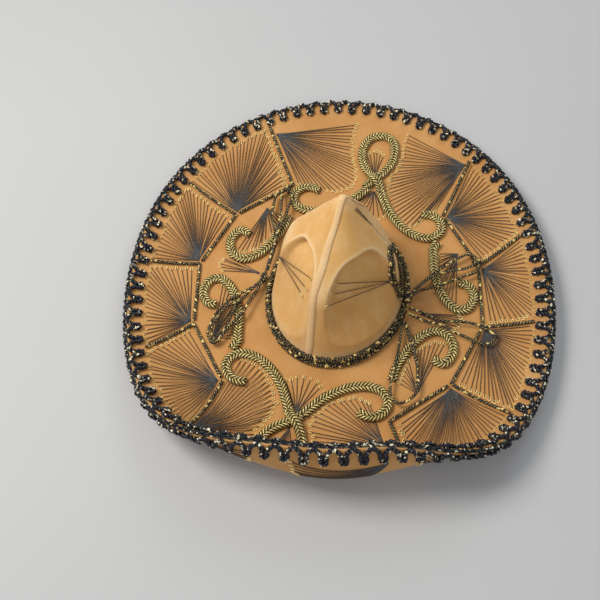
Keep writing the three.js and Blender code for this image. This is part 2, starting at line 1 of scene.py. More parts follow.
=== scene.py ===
"""Looks for a charro sombrero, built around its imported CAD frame, for Blender 4.5.

The frame gives every body, box and joint. Each soft or stitched CAD solid is replaced here by a
finished mesh: velvet covers, twisted cords, two-ply scroll braids, stitched thread fans, laced edge,
leather sweatband, lining and a turned bead. Lengths in this script are millimetres until a mesh is
made; Blender works in metres. +Z is up, the wearer looks along -Y.
"""

import math

import bpy
import numpy as np
from mathutils import Matrix, Vector


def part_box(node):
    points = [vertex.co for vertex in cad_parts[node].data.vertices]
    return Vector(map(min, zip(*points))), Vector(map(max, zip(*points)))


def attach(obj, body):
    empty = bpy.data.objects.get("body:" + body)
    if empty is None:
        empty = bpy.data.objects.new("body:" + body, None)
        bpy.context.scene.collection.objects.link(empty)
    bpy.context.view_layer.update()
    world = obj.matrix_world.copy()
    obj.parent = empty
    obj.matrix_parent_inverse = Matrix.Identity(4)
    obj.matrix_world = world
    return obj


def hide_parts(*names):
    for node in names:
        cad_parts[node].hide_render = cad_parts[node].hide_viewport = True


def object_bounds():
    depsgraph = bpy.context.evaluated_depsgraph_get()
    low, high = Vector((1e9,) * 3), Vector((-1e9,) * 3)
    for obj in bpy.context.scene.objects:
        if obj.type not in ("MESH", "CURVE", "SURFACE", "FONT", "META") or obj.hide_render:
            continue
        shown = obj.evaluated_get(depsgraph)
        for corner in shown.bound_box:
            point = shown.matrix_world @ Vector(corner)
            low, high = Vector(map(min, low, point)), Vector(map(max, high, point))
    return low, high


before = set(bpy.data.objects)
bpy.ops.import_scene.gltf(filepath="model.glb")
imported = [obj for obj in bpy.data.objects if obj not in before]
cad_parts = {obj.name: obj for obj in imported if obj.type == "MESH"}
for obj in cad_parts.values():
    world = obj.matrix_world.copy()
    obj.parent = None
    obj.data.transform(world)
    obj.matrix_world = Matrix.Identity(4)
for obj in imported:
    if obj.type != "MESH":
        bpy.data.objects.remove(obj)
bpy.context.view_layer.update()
METRES = 0.001
TURN = 2 * math.pi
UP = np.array([0.0, 0.0, 1.0])
RIGHT = np.array([1.0, 0.0, 0.0])
rng = np.random.default_rng(11)


def box_of(node):
    low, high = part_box(node)
    return np.array(low) / METRES, np.array(high) / METRES


# The frame's origin is the middle of the footprint. Here it is the centre of the crown's foot, level with
# the top face of the brim, and this shift is added when a mesh is made.
CROWN_FOOT_HEIGHT = 0.4
SHIFT = np.append(sum(box_of("crown_cover"))[:2] / 2, box_of("crown_cover")[0][2] - CROWN_FOOT_HEIGHT)


def box_mm(node):
    low, high = box_of(node)
    return low - SHIFT, high - SHIFT


def middle_mm(node):
    """The middle of a node's box, and half its size."""
    low, high = box_mm(node)
    return (low + high) / 2, (high - low) / 2


# ---- driving dimensions: the same shape laws as the CAD source, sized from the frame ----
CROWN_HALF_WIDTH = middle_mm("crown_cover")[1][0]
CROWN_HALF_LENGTH = CROWN_HALF_WIDTH + 17
CROWN_HEIGHT = box_mm("crown_cover")[1][2]
PEAK_SET_BACK = 22
WALL_TAPER = 0.34
ROOF_SLOPE = 1.795
BACK_ROOF_SLOPE = 1.38
SHOULDER_ROUNDING = 0.12
PEAK_ROUNDING = 2.5
SEAM_ANGLES = np.radians([265, 85])
DENTS = (  # centre and half angle in degrees, middle share, reach up and down, depth in millimetres
    (313, 39, 0.46, 0.26, 0.32, 17),
    (231, 32, 0.44, 0.29, 0.34, 13),
    (44, 40, 0.56, 0.36, 0.44, 12),
    (127, 42, 0.56, 0.36, 0.44, 12),
)
DENT_SQUARENESS = 3.1

BRIM_RADIUS = 283
BRIM_OVAL = 25
LIP_CENTRE = math.radians(286)
LIP_START = 0.55
LIP_EASE = 0.7
FRONT_LIP = {"angle": 126, "left": math.radians(44), "right": math.radians(36)}
BACK_LIP = {"angle": 7, "spread": math.radians(54)}
SIDE_LIP = 20
LIP_SPREAD_POWER = 2.8

COVER = 1.2
BOARD_TOP = 1.6
BOARD_BOTTOM = 4.2
THICKNESS = -box_mm("brim_board")[0][2] + 0.4 + COVER
EDGE_BEYOND = 2.6  # the edge rope's centre stands this far beyond the brim's edge
EDGE_REACH = 20  # the lacing's lobes reach in this far

HATBAND_RADIUS = middle_mm("hatband_lower_cord")[1][2]

# Trim outlines on the flattened brim, in one quadrant: x to the side, y to the back.
END_SCROLL = [(9, 167), (14, 158), (28, 138), (47, 121), (67, 112), (86, 112),
              (97, 122), (98, 134), (91, 144), (80, 148), (69, 146)]
SIDE_SCROLLS = {
    "alike": [(99, 109), (96, 98), (99, 88), (105, 68), (115, 47), (129, 29), (145, 20), (157, 25),
              (161, 38), (158, 50), (148, 58), (139, 57)],
    "opposite": [(95, 95), (95, 80), (100, 58), (107, 39), (117, 24), (130, 16), (145, 20),
                 (154, 36), (151, 52), (144, 57), (134, 54)],
}
# Each teardrop starts on one end scroll, crosses over itself and runs into the other.
TEARDROPS = {
    "back": [(10, 165), (3, 176), (-8, 186), (-21, 198), (-30, 214), (-33, 234), (-27, 250), (-12, 257),
             (2, 252), (9, 236), (10, 215), (4, 198), (-4, 186), (-9, 177), (-13, 168)],
    "front": [(-9, -167), (-4, -173), (5, -181), (13, -190), (19, -203), (20, -222), (13, -238), (-3, -244),
              (-19, -239), (-27, -223), (-27, -206), (-19, -193), (-8, -183), (1, -175), (8, -168)],
}
GAP_FANS = {  # apex, then the line where the threads end
    "back_left": ((-153, 221), [(-53, 268), (-53, 248), (-48, 224), (-41, 207), (-33, 193), (-30, 180),
                                (-32, 166), (-46, 154), (-62, 150), (-82, 148), (-98, 150)]),
    "front_left": ((-104, -238), [(-84, -119), (-67, -120), (-50, -129), (-36, -144), (-28, -159),
                                  (-27, -171), (-31, -185), (-36, -198), (-37, -212)]),
    "front_right": ((108, -176), [(34, -200), (29, -191), (23, -181), (22, -168), (28, -154), (37, -143),
                                  (51, -133), (63, -128), (79, -130)]),
    "back_right": ((104, 239), [(18, 270), (20, 255), (21, 238), (20, 220), (15, 194), (16, 178), (24, 154),
                               (33, 140), (46, 128), (60, 124), (68, 134), (74, 149), (84, 160)]),
}
INNER_RING = 180
PANEL_START = 126
RIM_STEP = 30
INNER_STEP = 28
PANELS = 4
UNDER_FANS = {  # the same two fans at the front on the underside, closer to the rim
    "front_left": ((-138, -247), [(-26, -286), (-28, -264), (-32, -242), (-40, -220), (-54, -204)]),
    "front_right": ((138, -247), [(26, -286), (28, -264), (32, -242), (40, -220), (54, -204)]),
}
BRAID_HALF_WIDTH = 5.7
BRAID_HALF_HEIGHT = 3.0
THREAD = 0.52
DENT_THREAD = 0.5
# Radius of each rope, and the length of one turn of its plies.
LACING_ROPE = (3.0, 9)
RIM_ROPE = (1.6, 7)
HATBAND_ROPE = (2.3, 8)
KNOT_ROPE = (1.9, 7)
SHOULDER_ROPE = (2.2, 8)
BRAID_ROPE = (BRAID_HALF_WIDTH * 0.55, 13)
PANEL_ROPE = (2.15, 7.5)
LOOP_ROPE = (1.9, 8)
WRAP_ROPE = (1.3, 6)
CHIN_ROPE = (2.0, 8)
QUADRANTS = {"back_right": (1, 1), "back_left": (-1, 1), "front_left": (-1, -1), "front_right": (1, -1)}


# ---- small vector helpers ----
def unit(v):
    return v / np.maximum(np.linalg.norm(v, axis=-1, keepdims=True), 1e-9)


def around(count):
    """Angles evenly spaced round a full turn."""
    return np.arange(count) * TURN / count


def turn_between(a, b):
    return (a - b + np.pi) % TURN - np.pi


def smooth_step(low, high, value):
    t = np.clip((value - low) / (high - low), 0, 1)
    return t * t * (3 - 2 * t)


def bell(value, middle, width):
    return np.exp(-(((value - middle) / width) ** 2))


def gradient(path, closed):
    """Differences along the second last axis of (..., N, 3)."""
    if closed:
        return np.roll(path, -1, axis=-2) - np.roll(path, 1, axis=-2)
    ahead = np.concatenate([path[..., 1:, :], path[..., -1:, :]], axis=-2)
    behind = np.concatenate([path[..., :1, :], path[..., :-1, :]], axis=-2)
    return ahead - behind


def run_lengths(path):
    steps = np.linalg.norm(np.diff(path, axis=0), axis=1)
    return np.concatenate([[0], np.cumsum(steps)])


def even(path, spacing, closed=False):
    """The path again, with its points evenly spaced."""
    path = np.asarray(path, float)
    if closed:
        path = np.vstack([path, path[:1]])
    run = run_lengths(path)
    count = max(2, int(round(run[-1] / spacing)))
    stops = np.linspace(0, run[-1], count + 1)
    if closed:
        stops = stops[:-1]
    return np.stack([np.interp(stops, run, path[:, k]) for k in range(path.shape[1])], axis=1)


def through(control, spacing, closed=False, fine=12):
    """A smooth curve through the control points, evenly spaced."""
    c = np.asarray(control, float)
    if closed:
        c = np.vstack([c[-1:], c, c[:2]])
    else:
        c = np.vstack([2 * c[0] - c[1], c, 2 * c[-1] - c[-2]])
    p0, p1, p2, p3 = (c[i:len(c) - 3 + i][:, None, :] for i in range(4))
    t = (np.arange(fine) / fine)[None, :, None]
    curve = 0.5 * (2 * p1 + (p2 - p0) * t + (2 * p0 - 5 * p1 + 4 * p2 - p3) * t**2
                   + (3 * p1 - p0 - 3 * p2 + p3) * t**3)
    curve = curve.reshape(-1, c.shape[1])
    if not closed:
        curve = np.vstack([curve, c[-2:-1]])
    return even(curve, spacing, closed)


def even_pair(pairs, spacing):
    """A path and its up directions, six values in a row, evenly spaced."""
    both = even(pairs, spacing)
    return both[:, :3], unit(both[:, 3:])


def straight(a, b, spacing):
    count = max(2, int(round(np.linalg.norm(np.subtract(b, a)) / spacing)))
    t = np.linspace(0, 1, count + 1)[:, None]
    return np.asarray(a, float) * (1 - t) + np.asarray(b, float) * t


# ---- the brim's surface ----
def ellipse_radius(a, b, angle):
    return a * b / np.hypot(b * np.cos(angle), a * np.sin(angle))


def brim_hole(angle):
    return ellipse_radius(CROWN_HALF_WIDTH - 1.4, CROWN_HALF_LENGTH - 1.4, angle)


def brim_edge(angle):
    return BRIM_RADIUS - BRIM_OVAL * np.cos(2 * (angle - LIP_CENTRE + 1.5 * np.pi))


def edge_slope(angle):
    front = turn_between(angle, LIP_CENTRE)
    back = turn_between(angle, LIP_CENTRE + np.pi)
    spread = np.where(front > 0, FRONT_LIP["right"], FRONT_LIP["left"])
    front_share = np.exp(-(np.abs(front / spread) ** LIP_SPREAD_POWER))
    back_share = np.exp(-(np.abs(back / BACK_LIP["spread"]) ** 3))
    return np.radians(SIDE_LIP + (FRONT_LIP["angle"] - SIDE_LIP) * front_share
                      + (BACK_LIP["angle"] - SIDE_LIP) * back_share)


TABLE_TURN = 720
TABLE_RUN = 120


def brim_table():
    """Points and normals of the brim's top face: rows round the hat, columns from hole to edge."""
    angle = around(TABLE_TURN)
    start = brim_hole(angle)
    step = (brim_edge(angle) - start)[:, None] / TABLE_RUN
    share = (np.arange(TABLE_RUN) + 0.5) / TABLE_RUN
    bend = np.clip((share - LIP_START) / (1 - LIP_START), 0, None) ** LIP_EASE
    lip = bend[None, :] * edge_slope(angle)[:, None]
    zero = np.zeros((TABLE_TURN, 1))
    out = start[:, None] + np.hstack([zero, np.cumsum(step * np.cos(lip), axis=1)])
    up = np.hstack([zero, np.cumsum(step * np.sin(lip), axis=1)])
    points = np.stack([out * np.cos(angle)[:, None], out * np.sin(angle)[:, None], up], axis=-1)
    onward = np.roll(points, -1, axis=0) - np.roll(points, 1, axis=0)
    return points, unit(np.cross(gradient(points, False), onward))


BRIM_POINTS, BRIM_NORMALS = brim_table()


def brim_at(angle, share, lift, under=False):
    """A point over the brim's top face, or under its underside, and the normal there. The share runs
    from the hole to the edge, and a share beyond 1 runs off the edge."""
    angle, share = np.broadcast_arrays(angle, share)
    if under:
        lift = -THICKNESS - lift
    turn = (angle / TURN) % 1 * TABLE_TURN
    i = np.floor(turn).astype(int) % TABLE_TURN
    run = share * TABLE_RUN
    j = np.clip(np.floor(run).astype(int), 0, TABLE_RUN - 1)
    u = (turn - np.floor(turn))[..., None]
    v = (run - j)[..., None]
    k = (i + 1) % TABLE_TURN

    def pick(table, v):
        near = table[i, j] * (1 - v) + table[i, j + 1] * v
        far = table[k, j] * (1 - v) + table[k, j + 1] * v
        return near * (1 - u) + far * u

    normal = unit(pick(BRIM_NORMALS, np.clip(v, 0, 1)))
    return pick(BRIM_POINTS, v) + normal * np.asarray(lift)[..., None], -normal if under else normal


def on_brim(flat, lift, under=False):
    """A point over the brim at a place on its flattened blank, on the top face or on the underside."""
    flat = np.asarray(flat, float)
    angle = np.arctan2(flat[..., 1], flat[..., 0])
    start = brim_hole(angle)
    share = (np.hypot(flat[..., 0], flat[..., 1]) - start) / (brim_edge(angle) - start)
    return brim_at(angle, share, lift, under)


EDGE_ANGLES = np.arange(TABLE_TURN + 1) * TURN / TABLE_TURN
EDGE_RUN = run_lengths(np.vstack([BRIM_POINTS[:, -1], BRIM_POINTS[:1, -1]]))


def at_edge(along, inward, lift, under=False):
    """A point by its distance along the brim's edge and its distance in from it."""
    angle = np.interp(along % EDGE_RUN[-1], EDGE_RUN, EDGE_ANGLES)
    share = 1 - inward / (brim_edge(angle) - brim_hole(angle))
    return brim_at(angle, share, lift, under)


# ---- the crown's surface ----
def smooth_minimum(a, b, rounding):
    h = np.clip(0.5 + 0.5 * (b - a) / rounding, 0, 1)
    return b * (1 - h) + a * h - rounding * h * (1 - h)


def dents(angle, share):
    """Depth of the dents in millimetres, and the distance from the nearest one's middle, 1 at its rim."""
    depth = np.zeros(np.broadcast(angle, share).shape)
    nearest = np.full(depth.shape, 9.0)
    for centre, half, level, up, down, deep in DENTS:
        across = turn_between(angle, math.radians(centre)) / math.radians(half)
        above = share > level
        along = (share - level) / np.where(above, up, down)
        q = (np.abs(across) ** DENT_SQUARENESS + np.abs(along) ** DENT_SQUARENESS) ** (1 / DENT_SQUARENESS)
        steep = smooth_step(level - 0.25, level + 0.1, share)
        bowl = np.clip(1 - q * q, 0, 1) ** 1.2
        pan = (1 - smooth_step(0.78, 1.0, q)) * (1.25 - 0.65 * np.clip(across * across, 0, 1))
        depth = np.maximum(depth, deep * (bowl * (1 - steep) + pan * steep))
        nearest = np.minimum(nearest, q)
    return depth, nearest


def crown_surface(angle, share):
    back_share = np.clip(np.cos(angle - SEAM_ANGLES[1]), 0, None) ** 2
    roof = (ROOF_SLOPE + (BACK_ROOF_SLOPE - ROOF_SLOPE) * back_share) * (1 - share)
    size = smooth_minimum(1 - WALL_TAPER * share, roof, SHOULDER_ROUNDING)
    wall = ellipse_radius(CROWN_HALF_WIDTH, CROWN_HALF_LENGTH, angle)
    radius = wall * size - dents(angle, share)[0]
    rounding = PEAK_ROUNDING * bell(radius, 0, 8)
    return np.stack([radius * np.cos(angle), radius * np.sin(angle) + PEAK_SET_BACK * share,
                     CROWN_HEIGHT * share - rounding], axis=-1)


def crown_point(angle, share, inset=0.0):
    """A point of the crown moved in along its normal, and that normal."""
    angle, share = np.broadcast_arrays(np.asarray(angle, float), np.asarray(share, float))
    step = 0.004
    onward = crown_surface(angle + step, share) - crown_surface(angle - step, share)
    upward = crown_surface(angle, share + step) - crown_surface(angle, share - step)
    normal = unit(np.cross(onward, upward))
    return crown_surface(angle, share) - normal * np.asarray(inset)[..., None], normal


# ---- mesh building ----
class Piece:
    """Collects grids and tubes of points, with a finish for each face and two values for each point:
    tone (0 to 1, read by the materials) and along (millimetres along a strand)."""

    def __init__(self):
        self.points = []
        self.faces = []
        self.finish = []
        self.tone = []
        self.along = []
        self.count = 0

    def add_points(self, points, tone=0.0, along=0.0):
        shape = points.shape[:-1]
        self.points.append(points.reshape(-1, 3))
        self.tone.append(np.broadcast_to(tone, shape).reshape(-1))
        self.along.append(np.broadcast_to(along, shape).reshape(-1))
        index = self.count + np.arange(int(np.prod(shape))).reshape(shape)
        self.count += index.size
        return index

    def add_faces(self, corners, finish=0):
        self.faces.append(corners.reshape(-1, corners.shape[-1]))
        self.finish.append(np.full(len(self.faces[-1]), finish))

    def grid(self, points, wrap_rows=False, wrap_columns=False, capped=False, finish=0, tone=0.0, along=0.0):
        """Faces over a (..., rows, columns, 3) array of points; `capped` closes the first and last rows."""
        index = self.add_points(points, tone, along)
        if wrap_rows:
            index = np.concatenate([index, index[..., :1, :]], axis=-2)
        if wrap_columns:
            index = np.concatenate([index, index[..., :1]], axis=-1)
        near, far = index[..., :-1, :], index[..., 1:, :]
        corners = [near[..., :-1], near[..., 1:], far[..., 1:], far[..., :-1]]
        self.add_faces(np.stack(corners, axis=-1), finish)
        if capped:
            self.add_faces(index[..., 0, -2::-1], finish)
            self.add_faces(index[..., -1, :-1], finish)
        return index

    def tubes(self, centres, ups, radius, sides=6, closed=False, finish=0, tone=0.0, along=0.0, hand=1):
        """Round tubes along (..., N, 3) centre lines."""
        _, across, up = side_frame(centres, ups, closed)
        angle = hand * around(sides)[:, None]
        shape = centres.shape[:-1]
        ring = (centres[..., None, :] + np.broadcast_to(radius, shape)[..., None, None]
                * (np.cos(angle) * across[..., None, :] + np.sin(angle) * up[..., None, :]))
        self.grid(ring, closed, True, not closed, finish, np.broadcast_to(tone, shape)[..., None],
                  np.broadcast_to(along, shape)[..., None])

    def build(self, name, slot, body="hat", materials=None, replaces=True):
        """Makes the mesh, in the slot's materials unless others are given."""
        mesh = bpy.data.meshes.new(name)
        points = (np.concatenate(self.points) + SHIFT) * METRES
        sizes = np.concatenate([np.full(len(f), f.shape[1]) for f in self.faces])
        corners = np.concatenate([f.ravel() for f in self.faces])
        mesh.vertices.add(len(points))
        mesh.vertices.foreach_set("co", points.astype(np.float32).ravel())
        mesh.loops.add(len(corners))
        mesh.loops.foreach_set("vertex_index", corners.astype(np.int32))
        mesh.polygons.add(len(sizes))
        mesh.polygons.foreach_set("loop_start", (np.cumsum(sizes) - sizes).astype(np.int32))
        mesh.polygons.foreach_set("material_index", np.concatenate(self.finish).astype(np.int32))
        mesh.polygons.foreach_set("use_smooth", np.ones(len(sizes), bool))
        for key, values in (("tone", self.tone), ("along", self.along)):
            layer = mesh.attributes.new(key, "FLOAT", "POINT")
            layer.data.foreach_set("value", np.concatenate(values).astype(np.float32))
        mesh.update(calc_edges=True)
        for item in materials or LOOKS[slot]:
            mesh.materials.append(item)
        piece = bpy.data.objects.new(name, mesh)
        bpy.context.scene.collection.objects.link(piece)
        outward_faces(mesh)
        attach(piece, body)
        if replaces:
            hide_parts(name)


def outward_faces(mesh):
    """Turns all the faces round if the closed mesh encloses a negative volume."""
    mesh.calc_loop_triangles()
    corners = np.empty(len(mesh.loop_triangles) * 3, np.int32)
    mesh.loop_triangles.foreach_get("vertices", corners)
    points = np.empty(len(mesh.vertices) * 3, np.float32)
    mesh.vertices.foreach_get("co", points)
    a, b, c = points.reshape(-1, 3)[corners.reshape(-1, 3)].transpose(1, 0, 2)
    if (a * np.cross(b, c)).sum() < 0:
        mesh.flip_normals()


def side_frame(path, ups, closed):
    """Unit directions along, across and up at each point of a path."""
    along = unit(gradient(path, closed))
    across = unit(np.cross(along, ups))
    return along, across, np.cross(across, along)


def helix(path, ups, orbit, pitch, phase, hand=1, closed=False):
    """A strand's centre line that winds round a path, with its outward direction and its run."""
    _, across, up = side_frame(path, ups, closed)
    run = run_lengths(np.vstack([path, path[:1]]) if closed else path)
    turns = max(1, round(run[-1] / pitch)) if closed else run[-1] / pitch
    angle = hand * TURN * turns * run[:len(path)] / run[-1] + phase
    outward = np.cos(angle)[:, None] * across + np.sin(angle)[:, None] * up
    return path + orbit * outward, outward, run[:len(path)]


PLY_SWELL = 1.1
FILAMENT_ORBIT = 0.66
FILAMENT_RADIUS = 0.22
PLY_OFFSET = 37  # millimetres that set one ply's yarn pattern off from the next


def rope(piece, path, ups, radius, pitch, finishes=(0, 0), filament=1, hand=1, closed=False, sides=6):
    """Twisted plies, one for each entry of `finishes`, with a thin filament in the grooves unless None."""
    plies = len(finishes)
    share = math.sin(math.pi / plies)
    ply = radius * share / (1 + share)
    strands = [(radius - ply, ply * PLY_SWELL, k / plies, finish) for k, finish in enumerate(finishes)]
    if filament is not None:
        strands += [(FILAMENT_ORBIT * radius, FILAMENT_RADIUS * radius, (k + 0.5) / plies, filament)
                    for k in range(plies)]
    for orbit, thick, phase, finish in strands:
        centre, outward, run = helix(path, ups, orbit, pitch, phase * TURN, hand, closed)
        sideways = np.cross(outward, gradient(centre, closed))
        piece.tubes(centre, sideways, thick, sides, closed, finish, 0.0, run + phase * PLY_OFFSET, -1)


def twined(piece, path, ups, orbit, pitch, size, filament=1, hand=1):
    """Two ropes wound round each other along a closed path."""
    for phase in (0, math.pi):
        strand, outward, _ = helix(path, ups, orbit, pitch, phase, hand, True)
        rope(piece, strand, outward, *size, filament=filament, hand=hand, closed=True)


def side_by_side(piece, path, ups, offset, size, **options):
    """Two ropes beside each other, turned opposite ways."""
    _, across, up = side_frame(path, ups, False)
    for side in (-1, 1):
        rope(piece, path + side * offset * across, up, *size, hand=-side, **options)


# ---- materials ----
class Finish:
    """A small helper that adds shader nodes and links them by name."""

    def __init__(self, name):
        self.material = bpy.data.materials.new(name)
        self.material.use_nodes = True
        self.tree = self.material.node_tree
        self.place = self.add("ShaderNodeTexCoord").outputs["Object"]

    def add(self, kind, inputs=None, **settings):
        node = self.tree.nodes.new(kind)
        for key, value in settings.items():
            setattr(node, key, value)
        for key, value in (inputs or {}).items():
            self.put(node, key, value)
        return node

    def put(self, node, key, value):
        socket = node.inputs[key]
        if isinstance(value, bpy.types.NodeSocket):
            self.tree.links.new(value, socket)
        elif isinstance(value, tuple) and len(value) == 3 and socket.type == "RGBA":
            socket.default_value = (*value, 1)
        else:
            socket.default_value = value

    def noise(self, per_metre, detail=2.0, roughness=0.5, stretch=None, distortion=0.0):
        place = self.place
        if stretch:
            place = self.add("ShaderNodeMapping", {"Vector": place, "Scale": stretch}).outputs["Vector"]
        values = {"Vector": place, "Scale": per_metre, "Detail": detail, "Roughness": roughness,
                  "Distortion": distortion}
        return self.add("ShaderNodeTexNoise", values).outputs["Fac"]

    def attribute(self, name):
        return self.add("ShaderNodeAttribute", attribute_name=name).outputs["Fac"]

    def span(self, value, low, high, to_low=0.0, to_high=1.0):
        values = {"Value": value, "From Min": low, "From Max": high, "To Min": to_low, "To Max": to_high}
        return self.add("ShaderNodeMapRange", values).outputs["Result"]

    def math(self, operation, a, b=0.0):
        return self.add("ShaderNodeMath", {0: a, 1: b}, operation=operation).outputs[0]

    def times(self, a, b):
        return self.math("MULTIPLY", a, b)

    def turns(self, sharpness):
        """Waves along a strand."""
        return self.math("SINE", self.times(self.attribute("along"), sharpness))

    def mix(self, share, a, b):
        return self.add("ShaderNodeMix", {0: share, 6: a, 7: b}, data_type="RGBA").outputs[2]

    def patches(self, noise, base, deep, high=0.7):
        """Two colours in soft patches."""
        return self.mix(self.span(noise, 0.35, high), base, deep)

    def worn(self, noise, low, high):
        """A roughness that drifts between two values."""
        return self.span(noise, 0.3, 0.7, low, high)

    def bump(self, height, strength, depth_mm):
        values = {"Height": height, "Strength": strength, "Distance": depth_mm * METRES}
        return self.add("ShaderNodeBump", values).outputs["Normal"]

    def surface(self, **values):
        for key, value in values.items():
            self.put(self.tree.nodes["Principled BSDF"], key.replace("_", " "), value)
        return self.material


def velvet(name, base, deep, pale, streaks, painted_sheen=0.35):
    """Short-napped velvet: broad shade drift, brushed streaks, pale tone (brim wear, painted crown highlights
    and painted rib light and shade), a painted sheen at grazing angles and a fine fibre grain.
    """
    f = Finish(name)
    colour = f.patches(f.noise(14, 3), base, deep)
    brushed = f.noise(30, 4, 0.6, streaks, 0.6)
    colour = f.mix(f.span(brushed, 0.45, 0.75, 0, 0.3), colour, pale)
    # Pale where the tone is high: wear on the brim, painted highlights on the crown, painted light and shade
    # on the piping's ribs.
    colour = f.mix(f.times(f.attribute("tone"), 0.9), colour, pale)
    # Painted sheen: the colour turns paler towards grazing angles, where lit velvet would shine.
    facing = f.add("ShaderNodeLayerWeight", {"Blend": 0.35}).outputs["Facing"]
    colour = f.mix(f.times(f.math("POWER", facing, 2.2), painted_sheen), colour, pale)
    fibre = f.noise(1400, 3, 0.7)
    colour = f.mix(f.span(fibre, 0.3, 0.7, 0, 0.35), colour, deep)
    clumps = f.noise(330, 2, 0.6)
    height = f.math("ADD", f.times(fibre, 0.6), clumps)
    return f.surface(Base_Color=colour, Roughness=f.worn(clumps, 0.82, 0.95), Specular_IOR_Level=0.2,
                     Sheen_Weight=0.22, Sheen_Roughness=0.4, Sheen_Tint=(1.0, 0.84, 0.60),
                     Normal=f.bump(height, 0.35, 0.5))


def cord(name, base, fleck_and_glint, fleck_share, roughness, fleck_scale):
    """Wrapped cord: fine turns of yarn along the strand, with short metallic dashes that come and go; whitish
    dashes also stand as painted glints.
    """
    f = Finish(name)
    sparkle = f.noise(fleck_scale, 0, 0.4)
    shade = f.noise(160, 2)
    colour = f.patches(shade, base, tuple(1.8 * c + 0.004 for c in base))
    glint = f.span(sparkle, fleck_share, fleck_share + 0.03)
    return f.surface(Base_Color=f.mix(glint, colour, fleck_and_glint), Metallic=f.times(glint, 0.45),
                     Roughness=f.worn(shade, roughness, roughness + 0.2), Specular_IOR_Level=0.4,
                     Normal=f.bump(f.turns(6.5), 0.5, 0.25))


def metal_yarn(name, base, dark, roughness=0.32):
    """Flat metallic foil wound round a core: bright turns with dark lines between them."""
    f = Finish(name)
    wave = f.turns(5.2)
    shade = f.noise(240, 2, 0.6)
    colour = f.patches(shade, base, dark, 0.68)
    colour = f.mix(f.span(wave, 0.55, 1.0, 0, 0.55), colour, dark)
    return f.surface(Base_Color=colour, Metallic=0.45, Roughness=f.worn(shade, roughness, roughness + 0.2),
                     Normal=f.bump(wave, 0.6, 0.2))


def thread(name, near, far, dust):
    """Stitching thread, slate where it gathers at the apex and dark brown where it spreads."""
    f = Finish(name)
    shade = f.noise(420, 2)
    colour = f.mix(f.span(f.attribute("tone"), 0.12, 0.55), near, far)
    colour = f.mix(f.span(shade, 0.5, 0.8, 0, 0.35), colour, dust)
    return f.surface(Base_Color=colour, Roughness=f.worn(shade, 0.4, 0.6), Specular_IOR_Level=0.5,
                     Normal=f.bump(f.turns(9.0), 0.4, 0.1))


def leather(name, base, deep):
    """Dressed leather: pores, fine creases and a worn, lighter edge."""
    f = Finish(name)
    pores = f.add("ShaderNodeTexVoronoi", {"Vector": f.place, "Scale": 900.0}).outputs["Distance"]
    crease = f.noise(90, 4, 0.6)
    colour = f.patches(crease, base, deep)
    colour = f.mix(f.times(f.attribute("tone"), 0.6), colour, tuple(2.2 * c for c in base))
    height = f.math("ADD", pores, f.times(crease, 1.5))
    return f.surface(Base_Color=colour, Roughness=f.worn(crease, 0.42, 0.62), Specular_IOR_Level=0.45,
                     Normal=f.bump(height, 0.4, 0.4))


def woven(name, base, deep, per_metre=4500):
    """Plain weave: crossing yarns from two sine waves, with slubs."""
    f = Finish(name)
    split = f.add("ShaderNodeSeparateXYZ", {"Vector": f.place})
    across = f.math("ADD", split.outputs["X"], split.outputs["Y"])
    warp = f.math("SINE", f.times(across, per_metre))
    weft = f.math("SINE", f.times(split.outputs["Z"], per_metre))
    weave = f.times(warp, weft)
    slub = f.noise(260, 3, 0.6)
    colour = f.mix(f.span(weave, 0.2, 1.0, 0, 0.25), f.patches(slub, base, deep), deep)
    return f.surface(Base_Color=colour, Roughness=0.88, Sheen_Weight=0.15,
                     Normal=f.bump(f.math("ADD", weave, slub), 0.4, 0.3))


def grained(name, base, deep, high, noise, roughness, bump, **surface):
    """A plain material from one stretched noise: fibres, scratches or wood grain."""
    f = Finish(name)
    grain = f.noise(*noise)
    return f.surface(Base_Color=f.patches(grain, base, deep, high), Roughness=f.worn(grain, *roughness),
                     Normal=f.bump(grain, *bump), **surface)


